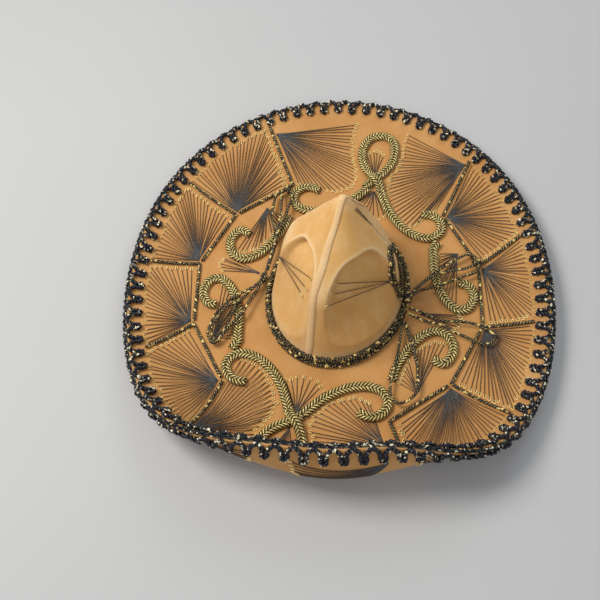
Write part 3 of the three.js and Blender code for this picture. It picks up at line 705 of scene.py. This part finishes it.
PIPING_VELVET = velvet("piping_velvet", (0.74, 0.47, 0.21), (0.63, 0.37, 0.15), (0.88, 0.68, 0.42),
                       (1, 1, 4), 0.5)
# The lacing's dashes are whitish: metallic yarn, and painted glints of light on the black cord.
LACING_CORD = cord("lacing_cord", (0.006, 0.007, 0.012), (0.88, 0.80, 0.58), 0.655, 0.32, 260)
GOLD_STITCH = metal_yarn("gold_stitch", (1.0, 0.80, 0.36), (0.85, 0.58, 0.20))
LOOKS = {  # the materials of each slot; a face's finish picks one of them
    "brim_velvet": [velvet("brim_velvet", (0.55, 0.285, 0.095), (0.46, 0.215, 0.065), (0.70, 0.43, 0.19),
                           (1, 1, 3))],
    "crown_velvet": [velvet("crown_velvet", (0.70, 0.40, 0.135), (0.61, 0.33, 0.105), (0.88, 0.66, 0.38),
                            (2.5, 2.5, 0.7), 0.4)],
    "black_cord": [cord("black_cord", (0.006, 0.006, 0.009), (0.95, 0.74, 0.28), 0.65, 0.42, 210),
                   metal_yarn("gold_filament", (0.80, 0.60, 0.20), (0.06, 0.04, 0.02))],
    "gold_braid": [metal_yarn("gold_yarn", (0.98, 0.80, 0.33), (0.42, 0.30, 0.08)),
                   metal_yarn("dark_yarn", (0.030, 0.022, 0.010), (0.012, 0.012, 0.010), 0.4)],
    "dark_thread": [thread("fan_thread", (0.042, 0.046, 0.052), (0.075, 0.042, 0.022), (0.30, 0.22, 0.12)),
                    GOLD_STITCH],
    "band_leather": [leather("band_leather", (0.115, 0.055, 0.030), (0.065, 0.030, 0.016)), GOLD_STITCH],
    "lining_cloth": [woven("lining_cloth", (0.72, 0.64, 0.50), (0.56, 0.48, 0.36))],
    "stiff_board": [grained("stiff_board", (0.50, 0.40, 0.25), (0.34, 0.26, 0.15), 0.7,
                            (500, 5, 0.7, (1, 1, 0.2)), (0.85, 0.85), (0.4, 0.3))],
    "steel_wire": [grained("steel_wire", (0.42, 0.43, 0.44), (0.42, 0.43, 0.44), 0.7,
                           (300, 3, 0.6, (1, 1, 8)), (0.25, 0.45), (0.2, 0.1), Metallic=1.0)],
    "bead_wood": [grained("bead_wood", (0.055, 0.028, 0.014), (0.018, 0.009, 0.005), 0.68,
                          (120, 4, 0.6, (6, 1, 1), 1.5), (0.28, 0.42), (0.2, 0.2), Coat_Weight=0.3)],
}


# ---- brim ----
def ripple(angle, share):
    """A slight unevenness of glued cloth, in millimetres."""
    wave = np.sin(7 * angle + 3 * share) * np.sin(9 * share + 2 * angle)
    fine = np.sin(31 * angle - 11 * share) * np.sin(23 * share + 5 * angle)
    return 0.22 * wave + 0.08 * fine


def brim_layer(name, slot, top, bottom, columns, rows, shows):
    """A closed layer of the brim between two depths under its top face."""
    angle = around(columns)[:, None]
    share = np.linspace(0, 1, rows + 1)[None, :]
    uneven = shows * ripple(angle, share) * smooth_step(0.0, 0.5, share)
    face, _ = brim_at(angle, share, uneven - top)
    back, _ = brim_at(angle, share, uneven - bottom)
    rub = smooth_step(0.8, 1.0, share) * (0.25 + 0.25 * np.sin(13 * angle) * np.sin(5 * angle))
    tone = shows * np.clip(rub, 0, 1)
    piece = Piece()
    piece.grid(np.hstack([face, back[:, ::-1]]), True, True, tone=np.hstack([tone, tone[:, ::-1]]))
    piece.build(name, slot)


BRIM_LAYERS = (  # name, slot, depth of its two faces, columns, rows, whether the cloth's wear shows
    ("brim_top_cover", "brim_velvet", 0, COVER, 360, 90, True),
    ("brim_board", "stiff_board", BOARD_TOP, BOARD_BOTTOM, 240, 60, False),
    ("brim_under_cover", "brim_velvet", THICKNESS - COVER, THICKNESS, 360, 90, True),
)
WIRE_BEYOND = 1.3
WIRE_RADIUS = 0.9


def build_brim():
    for layer in BRIM_LAYERS:
        brim_layer(*layer)
    along = np.linspace(0, EDGE_RUN[-1], 721)[:-1]
    path, normal = at_edge(along, -WIRE_BEYOND, -THICKNESS / 2)
    piece = Piece()
    piece.tubes(path, normal, WIRE_RADIUS, 10, True, along=along)
    piece.build("brim_wire", "steel_wire")


# ---- edge lacing ----
LOBES = int(round(EDGE_RUN[-1] / 20.0))
LOBE_SPACING = EDGE_RUN[-1] / LOBES
# One side of a lobe: across it in mm (the first two from midway to the next lobe), in from the edge, lift.
LOBE_BASE = [(0.0, -1.4, 2.2), (3.0, 0.3, 3.2)]
LOBE_HALF = [(-4.4, 2.8, 3.3), (-2.6, 6.0, 3.2), (-2.5, 9.4, 3.1), (-3.2, 12.8, 3.0), (-1.8, 15.6, 2.9)]


def lacing_path(under):
    """A cord that runs along the edge, turns in, rounds each lobe's tip and comes back."""
    incoming = [(x - LOBE_SPACING / 2, v, lift) for x, v, lift in LOBE_BASE] + LOBE_HALF
    outgoing = [(-x, v, lift) for x, v, lift in incoming[:0:-1]]
    lobe = np.array(incoming + outgoing)
    wobble = rng.normal(0, 0.45, (LOBES, 2))
    stretch = 1 + rng.normal(0, 0.03, LOBES)
    starts = np.arange(LOBES) * LOBE_SPACING
    along = starts[:, None] + lobe[None, :, 0] + wobble[:, :1] * (lobe[:, 1] > 6)
    inward = lobe[None, :, 1] * stretch[:, None]
    lift = np.broadcast_to(lobe[None, :, 2], inward.shape)
    flat = np.stack([along, inward, lift], axis=-1).reshape(-1, 3)
    path = through(flat, 1.15, fine=8)[:-1]
    return at_edge(path[:, 0], path[:, 1], path[:, 2], under)


def build_edge_lacing():
    piece = Piece()
    for under in (False, True):
        path, normal = even_pair(np.hstack(lacing_path(under)), 1.25)
        rope(piece, path, normal, *LACING_ROPE, filament=None, hand=-1)
    along = np.arange(0, EDGE_RUN[-1], 1.3)
    middle, normal = at_edge(along, -EDGE_BEYOND, -THICKNESS / 2)
    twined(piece, middle, normal, 1.4, LOBE_SPACING, RIM_ROPE, filament=None)
    piece.build("edge_lacing", "black_cord", materials=[LACING_CORD])


# ---- crown ----
def crown_layer(name, slot, outer_inset, inner_inset, start, foot, columns, rows):
    """A closed dome between two insets of the crown's face, open underneath."""
    angle = around(columns)[:, None]
    share = np.linspace(0, 1, rows)[None, :]
    share = start + (0.992 - start) * (share - 0.1 * np.sin(TURN * share) / TURN)
    outer, _ = crown_point(angle, share, outer_inset)
    inner, _ = crown_point(angle, share, inner_inset)
    if foot is not None:
        outer[:, 0, 2] = foot
        inner[:, 0, 2] = foot
    section = np.hstack([inner[:, ::-1], outer])
    tone = np.zeros(section.shape[:2])
    # The cover's outer face carries painted highlights in its tone.
    if outer_inset == 0:
        tone[:, rows:] = painted_highlight_tone(angle, share)
    piece = Piece()
    index = piece.grid(section, True, tone=tone)
    for column, direction in ((0, 1), (-1, -1)):
        ring = index[:columns, column]
        tip = piece.add_points(section[:, column].mean(axis=0)[None, :])
        ends = np.stack([ring, np.roll(ring, -1), np.broadcast_to(tip, ring.shape)], axis=1)
        piece.add_faces(ends[:, ::direction])
    piece.build(name, slot)


def painted_highlight_tone(angle, share):
    """Painted highlights on the crown's velvet, pale where the nap catches the light: on the dents' rims, the
    shoulders, the seams and the peak; also pale low round the foot.
    """
    q = dents(angle, share)[1]
    rim = bell(q, 0.99, 0.05) * smooth_step(0.45, 0.66, share)
    shoulder = bell(share, 0.57, 0.06) * (q > 1.05) * 0.5
    seam = sum(bell(turn_between(angle, s), 0, 0.10) for s in SEAM_ANGLES) * 0.25
    foot = (1 - smooth_step(0.03, 0.16, share)) * 0.55
    peak = smooth_step(0.9, 1.0, share) * 0.5
    return np.clip(rim * 0.8 + shoulder + seam + foot + peak, 0, 1)


CROWN_LAYERS = (  # name, slot, insets of its two faces, lowest share, foot's height, columns, rows
    ("crown_cover", "crown_velvet", 0, 1.1, 0, CROWN_FOOT_HEIGHT, 320, 150),
    ("crown_shell", "stiff_board", 1.6, 3.6, 0, -THICKNESS, 160, 70),
    ("crown_lining", "lining_cloth", 5.1, 6.0, 0.18, None, 160, 70),
)


def build_crown():
    for layer in CROWN_LAYERS:
        crown_layer(*layer)


PIPING_HALF_WIDTH = 4.0
PIPING_HALF_HEIGHT = 1.5
RIB_PITCH = 2.6


def build_seam_cord():
    """A wide soft piping over front, peak and back, gathered into fine ribs."""
    shares = np.linspace(0.03, 0.985, 150)
    front, back = (np.hstack(crown_point(seam, shares, -0.2)) for seam in SEAM_ANGLES)
    path, ups = even_pair(np.vstack([front, back[::-1]]), 0.55)
    _, across, up = side_frame(path, ups, False)
    run = run_lengths(path)[:, None]
    sway = 0.7 * np.sin(run / 23) + 0.4 * np.sin(run / 9.0)
    rib = np.sin(run * TURN / RIB_PITCH)
    angle = around(14)
    wide = PIPING_HALF_WIDTH * (1 + 0.12 * np.sin(run / 17)) * np.cos(angle)
    high = PIPING_HALF_HEIGHT * (1 + 0.10 * rib) * np.sin(angle)
    ring = path[:, None] + (sway + wide)[..., None] * across[:, None] + high[..., None] * up[:, None]
    piece = Piece()
    # Painted light and shade on the ribs: the tone is paler on each rib's crest than in the folds between
    # them.
    piece.grid(ring, False, True, True, tone=np.clip(0.35 + 0.35 * rib, 0, 1))
    piece.build("crown_seam_cord", "crown_velvet", materials=[PIPING_VELVET])


BAND_OUTER_INSET = 4.4
BAND_INNER_INSET = 5.6
BAND_ROWS = 14


def build_sweatband():
    """A leather strip inside the crown's foot, with a row of stitches near its lower edge."""
    low, high = box_mm("sweatband")
    angle = around(240)[:, None]
    heights = np.linspace(low[2], high[2], BAND_ROWS)
    share = np.clip(heights / CROWN_HEIGHT, 0, 1)[None, :]
    outer, _ = crown_point(angle, share, BAND_OUTER_INSET)
    inner, _ = crown_point(angle, share, BAND_INNER_INSET + 0.15 * np.sin(18 * angle) + 0 * share)
    outer[..., 2] = inner[..., 2] = heights
    worn = np.abs(np.linspace(-1, 1, BAND_ROWS)) ** 6
    piece = Piece()
    piece.grid(np.hstack([inner[:, ::-1], outer]), True, True, tone=np.concatenate([worn, worn]))
    stitches = 150
    t = np.linspace(-1, 1, 7)[None, :]
    at = around(stitches)[:, None] + t * TURN / stitches * 0.33
    height = np.full(at.shape, low[2] + 3.0)
    bowed = BAND_INNER_INSET + 0.45 * (1 - t**2)
    point, _ = crown_point(at, np.clip(height / CROWN_HEIGHT, 0, 1), bowed)
    point[..., 2] = height
    piece.tubes(point, UP, 0.32, finish=1)
    piece.build("sweatband", "band_leather")


# ---- hatband and knots ----
def build_hatband():
    for name, hand in (("hatband_lower_cord", 1), ("hatband_upper_cord", -1)):
        height = middle_mm(name)[0][2]
        point, _ = crown_point(around(640), height / CROWN_HEIGHT, -(HATBAND_RADIUS + 0.4))
        point[:, 2] = height
        piece = Piece()
        twined(piece, even(point, 1.0, True), UP, 1.75, 16, HATBAND_ROPE, hand=hand)
        piece.build(name, "black_cord")


def build_knots():
    """Wound knots where the loose cords leave the hatband."""
    for name in ("side_knot_left", "side_knot_right"):
        centre, half = middle_mm(name)
        t = around(259)
        swell = 0.72 + 0.28 * np.cos(5 * t)
        winding = np.stack([np.cos(3 * t) * swell, np.sin(3 * t) * swell, np.sin(5 * t)], axis=1)
        path = even(centre + (half - 1.6) * winding, 1.0, True)
        piece = Piece()
        rope(piece, path, path - centre, *KNOT_ROPE, closed=True)
        piece.build(name, "black_cord")


# A doubled cord hitched over the crown's right shoulder: direction in degrees and share of the height.
SHOULDER_CORD = [(3, 0.12), (-3, 0.20), (-7, 0.30), (-10, 0.40), (-10, 0.50), (-7, 0.57), (1, 0.60),
                 (8, 0.55), (10, 0.45), (8, 0.32), (4, 0.22), (5, 0.13)]


def build_shoulder_cord():
    places = through(SHOULDER_CORD, 0.4, fine=16)
    t = np.linspace(0, 1, 400)
    angle, share = (np.interp(t, np.linspace(0, 1, len(places)), column) for column in places.T)
    path, ups = even_pair(np.hstack(crown_point(np.radians(angle), share, -2.2)), 0.9)
    piece = Piece()
    side_by_side(piece, path, ups, 2.1, SHOULDER_ROPE)
    piece.build("shoulder_cord", "black_cord", replaces=False)


# ---- braids, cords and thread fans on the brim ----
CROSSING_SHARE = 0.09  # of a teardrop's length, where its start climbs over its end
CROSSING_SPREAD = 0.055


def build_braid(name, outline, crossing=False):
    """Two twisted cords side by side, turned opposite ways, so that their strands meet as chevrons."""
    flat = through(outline, 0.85)
    share = np.linspace(0, 1, len(flat))
    over = 2 * BRAID_HALF_HEIGHT * crossing * bell(share, CROSSING_SHARE, CROSSING_SPREAD)
    path, normal = on_brim(flat, BRAID_HALF_HEIGHT + 0.3 + over)
    piece = Piece()
    side_by_side(piece, path, normal, BRAID_HALF_WIDTH * 0.47, BRAID_ROPE, finishes=(0, 1) * 3, filament=None)
    piece.build(name, "gold_braid")


def mirrored(outline, sx, sy):
    return [(x * sx, y * sy) for x, y in outline]


def build_braids():
    for place, (sx, sy) in QUADRANTS.items():
        side_scroll = SIDE_SCROLLS["alike" if sx * sy > 0 else "opposite"]
        build_braid(f"end_scroll_{place}", mirrored(END_SCROLL, sx, sy))
        build_braid(f"side_scroll_{place}", mirrored(side_scroll, sx, sy))
    for place, outline in TEARDROPS.items():
        build_braid(f"teardrop_braid_{place}", outline, True)


def polar(degrees, radius):
    angle = math.radians(degrees)
    return np.array([radius * math.cos(angle), radius * math.sin(angle)])


def rim_reach(degrees, inward=EDGE_REACH):
    return brim_edge(math.radians(degrees)) - inward


def panel_corner(start, i):
    rim = start + RIM_STEP * i
    return polar(rim, rim_reach(rim)), polar(start + INNER_STEP * i, INNER_RING)


def build_panel_cord(name, outline):
    flat = np.vstack([straight(a, b, 0.9)[:-1] for a, b in zip(outline, outline[1:])] + [outline[-1:]])
    path, normal = on_brim(flat, PANEL_ROPE[0] + 0.3)
    piece = Piece()
    rope(piece, path, normal, *PANEL_ROPE)
    piece.build(name, "black_cord")


def fan_threads(piece, apex, ends, under=False, tip_sizes=1.0):
    """Threads from one apex to a row of ends, each held down by a small gold loop at its end."""
    count = len(ends)
    apex = np.asarray(apex, float) + rng.normal(0, 0.5, (count, 2))
    ends = ends + rng.normal(0, 0.45, (count, 2))
    length = np.linalg.norm(ends - apex, axis=1)
    ends = apex + (ends - apex) * (1 + rng.normal(0, 1.0, count) / np.maximum(length, 20))[:, None]
    t = np.linspace(0, 1, 15)
    flat = apex[:, None] + (ends - apex)[:, None] * t[:, None]
    surface, normal = on_brim(flat, 0.0, under)
    chord = surface[:, :1] + (surface[:, -1:] - surface[:, :1]) * t[:, None]
    gap = np.sum((chord - surface) * normal, axis=-1)
    lift = THREAD * 0.8 + np.clip(0.35 * gap, 0, 2.5) + 0.5 * np.sin(np.pi * t)
    centre = surface + normal * lift[..., None]
    radius = THREAD * (1 + rng.normal(0, 0.1, count))[:, None]
    piece.tubes(centre, normal, radius, 5, tone=t, along=length[:, None] * t)
    gold_tips(piece, centre[:, -1], centre[:, -1] - centre[:, -2], normal[:, -1], tip_sizes)


# A gold loop: across and ahead, in millimetres, from the thread's end.
TIP_LOOP = 1.3 * np.array([(-0.5, -1.6), (-1.1, 0.2), (-0.9, 1.5), (0.0, 2.2),
                           (0.9, 1.5), (1.1, 0.2), (0.5, -1.6)])
TIP_RADIUS = 0.6


def gold_tips(piece, at, ahead, normal, sizes=1.0):
    ahead = unit(ahead)[:, None]
    normal = normal[:, None]
    across = np.cross(ahead, normal)
    size = (sizes * (1 + rng.normal(0, 0.12, len(at))))[:, None, None]
    loop = TIP_LOOP[:, :1] * across + TIP_LOOP[:, 1:] * ahead
    centre = at[:, None] + size * loop + 0.4 * normal
    thick = TIP_RADIUS * np.broadcast_to(sizes, len(at))[:, None]
    piece.tubes(centre, normal, thick, finish=1, tone=0.5, along=np.arange(7.0))


def build_panels():
    for side, turn in (("left", 0), ("right", 180)):
        start = PANEL_START + turn
        corners = [panel_corner(start, i) for i in range(PANELS + 1)]
        for i, (rim, inner) in enumerate(corners):
            outline = [rim, inner]
            if i < PANELS:
                outline.append(inner + (corners[i + 1][1] - inner) * 0.94)
            build_panel_cord(f"panel_cord_{side}_{i + 1}", np.array(outline))
        for i in range(1, PANELS + 1):
            piece = Piece()
            for under in (False, True):
                apex, ends, sizes = panel_fan(start, corners, i, UNDER_FAN_REACH if under else FAN_REACH)
                fan_threads(piece, apex, ends, under, sizes)
            piece.build(f"panel_fan_{side}_{i}", "dark_thread")


FAN_SPACING = 6.4
RIM_TIP_SIZE = 0.65
FAN_REACH = EDGE_REACH + 1.5  # how far in from the edge the threads end
UNDER_FAN_REACH = 12


def panel_fan(start, corners, i, reach):
    """From the inner corner of one cord to the neighbouring cord and the rim, with the gold loops' sizes."""
    apex = polar(start + INNER_STEP * i - 1.6, np.hypot(*corners[i][1]) + 4)
    first = polar(start + INNER_STEP * (i - 1) + 2.6, INNER_RING + 8)
    angles = start + RIM_STEP * i + np.linspace(1.7 - RIM_STEP, -1.4, 9)
    rim = [polar(angle, rim_reach(angle, reach)) for angle in angles]
    ends = even(np.vstack([first, rim]), FAN_SPACING)
    by_the_cord = np.linalg.norm(ends - first, axis=1) < np.linalg.norm(rim[0] - first)
    return apex, ends, np.where(by_the_cord, 1.0, RIM_TIP_SIZE)


def build_gap_fans():
    for place, top in GAP_FANS.items():
        piece = Piece()
        for under, (apex, edge) in ((False, top), (True, UNDER_FANS.get(place, top))):
            fan_threads(piece, apex, through(edge, FAN_SPACING), under)
        piece.build(f"gap_fan_{place}", "dark_thread")


# Small fans between the braids, in one quadrant: apex, then the line where their threads end.
HOOK_FAN = ((127, 99), [(112, 52), (118, 40), (128, 31), (142, 27)])
SCROLL_FAN = ((127, 101), [(104, 95), (104, 80), (107, 64)])
TEARDROP_FANS = {
    "back": ((-6, 191), [(-26, 223), (-20, 229), (-12, 231), (-4, 228)]),
    "front": ((-2, -185), [(-12, -216), (-6, -219), (2, -219), (9, -214)]),
}
CROSSING_FAN = ((0, 166), [(-25, 130), (-10, 121), (10, 121), (25, 130)])
SIDE_FAN = ((104, 3), [(147, 14), (154, 8), (154, 0), (148, -6)])


def small_fan(name, shape, count, sx=1, sy=1):
    apex, line = shape
    line = through(mirrored(line, sx, sy), 1.0)
    ends = line[np.linspace(0, len(line) - 1, count).astype(int)]
    piece = Piece()
    fan_threads(piece, (apex[0] * sx, apex[1] * sy), ends)
    piece.build(name, "dark_thread", replaces=False)


def build_small_fans():
    for place, (sx, sy) in QUADRANTS.items():
        small_fan(f"hook_fan_{place}", HOOK_FAN, 8, sx, sy)
        small_fan(f"scroll_fan_{place}", SCROLL_FAN, 6, sx, sy)
    for place, sy in (("back", 1), ("front", -1)):
        small_fan(f"teardrop_fan_{place}", TEARDROP_FANS[place], 6)
        small_fan(f"crossing_fan_{place}", CROSSING_FAN, 8, 1, sy)
    for place, sx in (("left", -1), ("right", 1)):
        small_fan(f"side_fan_{place}", SIDE_FAN, 6, sx)


# Dent threads: direction in degrees and share of height of three stitches, then of the gathered end.
DENT_THREADS = {
    "front_right": ((281, 0.60), (279, 0.545), (276, 0.495), (350, 0.40)),
    "front_left": ((253, 0.57), (252, 0.50), (248, 0.425), (199, 0.44)),
    "back_right": ((358, 0.90), (9, 0.895), (22, 0.88), (10, 0.60)),
    "back_left": ((135, 0.80), (132, 0.84), (129, 0.88), (166, 0.55)),
}


def over_crown(path, gap):
    """The path again, pushed out where it would dip into the crown."""
    share = np.clip(path[:, 2] / CROWN_HEIGHT, 0, 0.99)
    centre = np.stack([0 * share, PEAK_SET_BACK * share], axis=1)
    offset = path[:, :2] - centre
    angle = np.arctan2(offset[:, 1], offset[:, 0])
    face = np.linalg.norm(crown_surface(angle, share)[:, :2] - centre, axis=1) + gap
    out = np.maximum(1, face / np.linalg.norm(offset, axis=1))
    return np.column_stack([centre + offset * out[:, None], path[:, 2]])


def build_dent_threads():
    """Threads across each dent, gathered at the crown's side, with gold stitches at the front ones."""
    t = np.linspace(0, 1, 40)
    for place, (*stitches, gathered) in DENT_THREADS.items():
        far, _ = crown_point(math.radians(gathered[0]), gathered[1], -1.4)
        piece = Piece()
        for angle, share in stitches:
            near, normal = crown_point(math.radians(angle), share, -0.9)
            path = over_crown(near + (far - near) * t[:, None], 0.6)
            piece.tubes(path, normal, DENT_THREAD, tone=1 - t, along=t * 60)
            if place.startswith("front"):
                gold_tips(piece, near[None], (near - path[2])[None], normal[None])
        piece.build(f"dent_threads_{place}", "dark_thread")


# ---- loose cord loops ----
LOOP_LIFT = 9
LOOPS = {  # the strands of each loop, in the order they are laid
    "cord_loop_left_upper": [
        [(-93, 4), (-94, 26), (-95, 40), (-98, 52), (-103, 64), (-114, 85), (-118, 104), (-119, 119),
         (-110, 136)],
        [(-94, 5), (-96, 30), (-98, 52), (-100, 64), (-103, 87), (-108, 107), (-113, 124), (-109, 136)],
        [(-93, 6), (-96, 40), (-98, 62), (-98, 75), (-97, 88), (-98, 105), (-99, 122), (-106, 134)],
    ],
    "cord_loop_right_upper": [
        [(85, 19), (93, 36), (105, 57), (118, 75), (130, 90), (140, 99), (150, 97), (155, 90)],
        [(85, 17), (98, 31), (113, 40), (130, 54), (144, 66), (157, 78), (156, 90)],
        [(87, 24), (105, 52), (121, 65), (139, 75), (153, 87)],
    ],
    "cord_loop_right_middle": [
        [(90, 2), (110, 0), (133, -3), (156, 2), (172, 3), (188, -1), (198, -7), (194, -18), (182, -20),
         (164, -17), (149, -14), (132, -9), (112, -9), (91, -5)],
    ],
    "cord_loop_right_front": [
        [(88, -20), (90, -38), (92, -55), (93, -74), (94, -90), (97, -112), (105, -123), (116, -121),
         (126, -106), (124, -86), (118, -69), (111, -57), (102, -41), (90, -18)],
        [(90, -18), (104, -40), (113, -58), (121, -78), (125, -100)],
    ],
    "cord_loop_left": [
        [(-94, -8), (-101, -22), (-114, -37), (-124, -50), (-132, -69), (-134, -86), (-133, -100),
         (-125, -111)],
        [(-93, -9), (-101, -25), (-108, -42), (-113, -61), (-114, -81), (-116, -101), (-121, -111)],
        [(-93, -11), (-95, -23), (-99, -44), (-102, -66), (-109, -80), (-113, -92), (-118, -108)],
        [(-93, -10), (-103, -30), (-111, -51), (-121, -59), (-128, -78), (-130, -94), (-124, -107)],
    ],
}
LOOP_WRAPS = {
    "cord_loop_left_upper": ((-108, 135), (-99, 118)),
    "cord_loop_left": ((-122, -109), (-124, -96)),
    "cord_loop_right_upper": ((155, 92), (145, 84)),
}


def build_loops():
    for name, strands in LOOPS.items():
        piece = Piece()
        for number, strand in enumerate(strands):
            flat = through(strand, 0.9)
            run = np.linspace(0, 1, len(flat))
            path, normal = on_brim(flat, LOOP_LIFT + 1.3 * number * np.sin(np.pi * run) - 1.0 * run)
            rope(piece, path, normal, *LOOP_ROPE, hand=(-1) ** number)
        if name in LOOP_WRAPS:
            wrap_end(piece, *np.array(LOOP_WRAPS[name], float))
        piece.build(name, "black_cord", body=name)


def wrap_end(piece, head, neck):
    """Turns of cord wound round the strands where a loop ends."""
    t = np.linspace(0, 1, 120)
    flat = head + unit(neck - head) * (10 * t - 3)[:, None]
    axis, normal = on_brim(flat, LOOP_LIFT - 1.0)
    winding, outward, _ = helix(axis, normal, 2.6, 2.4, 0)
    rope(piece, winding, outward, *WRAP_ROPE, sides=5)


# ---- chin cord, bead and anchors ----
CHIN_TILT = math.radians(27)
CHIN_PATH = [(53, -2), (55, 8), (60, 26), (61, 46), (52, 68), (30, 86), (9, 94), (3, 99), (2.5, 105),
             (2.5, 126)]


CHIN_AHEAD = np.array([0.0, math.cos(CHIN_TILT), math.sin(CHIN_TILT)])
CHIN_UP = np.array([0.0, -math.sin(CHIN_TILT), math.cos(CHIN_TILT)])
CHIN_PIVOT = middle_mm("chin_anchor_left")[0] * [0, 1, 1]
TASSEL_THREADS = 10


def chin_point(x, along):
    return CHIN_PIVOT + np.asarray(x)[..., None] * RIGHT + np.asarray(along)[..., None] * CHIN_AHEAD


def build_chin_cord():
    piece = Piece()
    half = through(CHIN_PATH, 0.9)
    for side in (1, -1):
        path = chin_point(half[:, 0] * side, half[:, 1])
        rope(piece, path, CHIN_UP, *CHIN_ROPE, (0, 0, 0), hand=side)
    t = np.linspace(0, 1, 10)[:, None]
    for angle in around(TASSEL_THREADS):
        spread = math.cos(angle) * RIGHT + math.sin(angle) * CHIN_UP
        path = chin_point(0.0, 127.0) + 7 * t * CHIN_AHEAD + (1.2 + 1.3 * t) * spread
        piece.tubes(path, CHIN_UP, 0.6, along=7 * t[:, 0], hand=-1)
    piece.build("chin_cord", "black_cord", body="chin_strap")


BEAD_PROFILE = [  # radius, then the distance along the bead
    (4.9, 0.2), (5.6, 0.0), (6.3, 0.5), (6.8, 1.6), (7.0, 3.0), (6.6, 3.5), (7.1, 4.0), (7.1, 6.0),
    (6.6, 6.5), (7.0, 7.0), (6.8, 8.4), (6.3, 9.5), (5.6, 10.0), (4.9, 9.8),
]


def build_bead():
    """A turned bead with two grooves round its middle and softened ends."""
    section = through(BEAD_PROFILE, 0.35, True)
    turn = around(48)[:, None, None]
    start = middle_mm("chin_bead")[0] - 5.0 * CHIN_AHEAD
    ring = np.cos(turn) * RIGHT + np.sin(turn) * CHIN_UP
    piece = Piece()
    piece.grid(start + section[:, 1:] * CHIN_AHEAD + section[:, :1] * ring, True, True)
    piece.build("chin_bead", "bead_wood", body="bead")


ANCHOR_ROWS = ((-1.0, 0.86), (-0.96, 0.95), (-0.7, 1.0), (0.7, 1.0), (0.96, 0.95), (1.0, 0.86))
ANCHOR_CORNERS = 0.35


def rounded(wave):
    return np.sign(wave) * np.abs(wave) ** ANCHOR_CORNERS


def build_anchors():
    """Small leather tabs that hold the chin cord, each with four stitches."""
    turn = around(40)
    outline = np.stack([rounded(np.cos(turn)), rounded(np.sin(turn))], axis=1)
    rows = [np.column_stack([np.full(40, depth), size * outline]) for depth, size in ANCHOR_ROWS]
    t = np.linspace(-1, 1, 7)
    for name in ("chin_anchor_left", "chin_anchor_right"):
        centre, half = middle_mm(name)
        piece = Piece()
        piece.grid(centre + half * rows, False, True, True, tone=0.3)
        stitch = -np.sign(centre[0]) * (half[0] - 0.1 + 0.35 * (1 - t * t))
        for dy in (-0.55, 0.55):
            for dz in (-0.5, 0.5):
                path = np.stack([stitch, np.full(7, dy * half[1]), dz * half[2] + t * 0.9], axis=1)
                piece.tubes(centre + path, RIGHT, 0.25, finish=1, hand=-1)
        piece.build(name, "band_leather")


build_brim()
build_edge_lacing()
build_crown()
build_seam_cord()
build_sweatband()
build_hatband()
build_knots()
build_shoulder_cord()
build_braids()
build_panels()
build_gap_fans()
build_small_fans()
build_dent_threads()
build_loops()
build_chin_cord()
build_bead()
build_anchors()


# ---- stage ----
LIGHTS = (  # name, place, diameter in metres, watts, colour
    ("key", (-1.1, -0.2, 1.6), 0.9, 30, (1.0, 0.97, 0.92)),
    ("fill", (0.6, -1.3, 1.5), 1.2, 6, (0.95, 0.98, 1.0)),
    ("back", (0.3, 1.5, 1.4), 1.2, 8, (1.0, 1.0, 1.0)),
)
LIGHT_TARGET = (0, 0, 0.05)
WORLD_COLOUR = (0.93, 0.96, 1.0, 1)
WORLD_STRENGTH = 0.40
FLOOR_HALF = 4.0
FLOOR_GAP = 0.0005


def area_light(name, place, size, watts, colour):
    data = bpy.data.lights.new(name, "AREA")
    data.shape = "DISK"
    data.size = size
    data.energy = watts
    data.color = colour
    light = bpy.data.objects.new(name, data)
    bpy.context.scene.collection.objects.link(light)
    light.location = place
    light.rotation_euler = (Vector(LIGHT_TARGET) - Vector(place)).to_track_quat("-Z", "Y").to_euler()


def build_stage():
    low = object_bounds()[0][2] - FLOOR_GAP
    mesh = bpy.data.meshes.new("floor")
    sides = ((-1, -1), (1, -1), (1, 1), (-1, 1))
    mesh.from_pydata([(x * FLOOR_HALF, y * FLOOR_HALF, low) for x, y in sides], [], [(0, 1, 2, 3)])
    floor = bpy.data.objects.new("floor", mesh)
    bpy.context.scene.collection.objects.link(floor)
    paper = Finish("pale_floor")
    colour = paper.mix(paper.noise(2.0, 2), (0.46, 0.46, 0.465), (0.50, 0.50, 0.50))
    mesh.materials.append(paper.surface(Base_Color=colour, Roughness=0.8))

    scene = bpy.context.scene
    scene.world = bpy.data.worlds.new("studio")
    scene.world.use_nodes = True
    sky = scene.world.node_tree.nodes["Background"].inputs
    sky["Color"].default_value = WORLD_COLOUR
    sky["Strength"].default_value = WORLD_STRENGTH
    for light in LIGHTS:
        area_light(*light)
    scene.view_settings.view_transform = "Standard"
    scene.view_settings.look = "None"


def build_camera():
    """Above the front, a little to the wearer's left."""
    camera = bpy.data.objects.new("camera", bpy.data.cameras.new("camera"))
    camera.data.lens = 60
    camera.data.sensor_width = 36
    camera.data.clip_end = 20
    right = Vector((0.9510, 0.3071, -0.0370))
    up = Vector((-0.2445, 0.8195, 0.5183))
    back = Vector((0.1895, -0.4839, 0.8544))
    place = Matrix((right, up, back)).transposed().to_4x4()
    place.translation = Vector((0.1911, -0.6161, 1.0531)) + Vector(SHIFT * METRES)
    camera.matrix_world = place
    bpy.context.scene.collection.objects.link(camera)
    bpy.context.scene.camera = camera


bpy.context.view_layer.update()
build_stage()
build_camera()
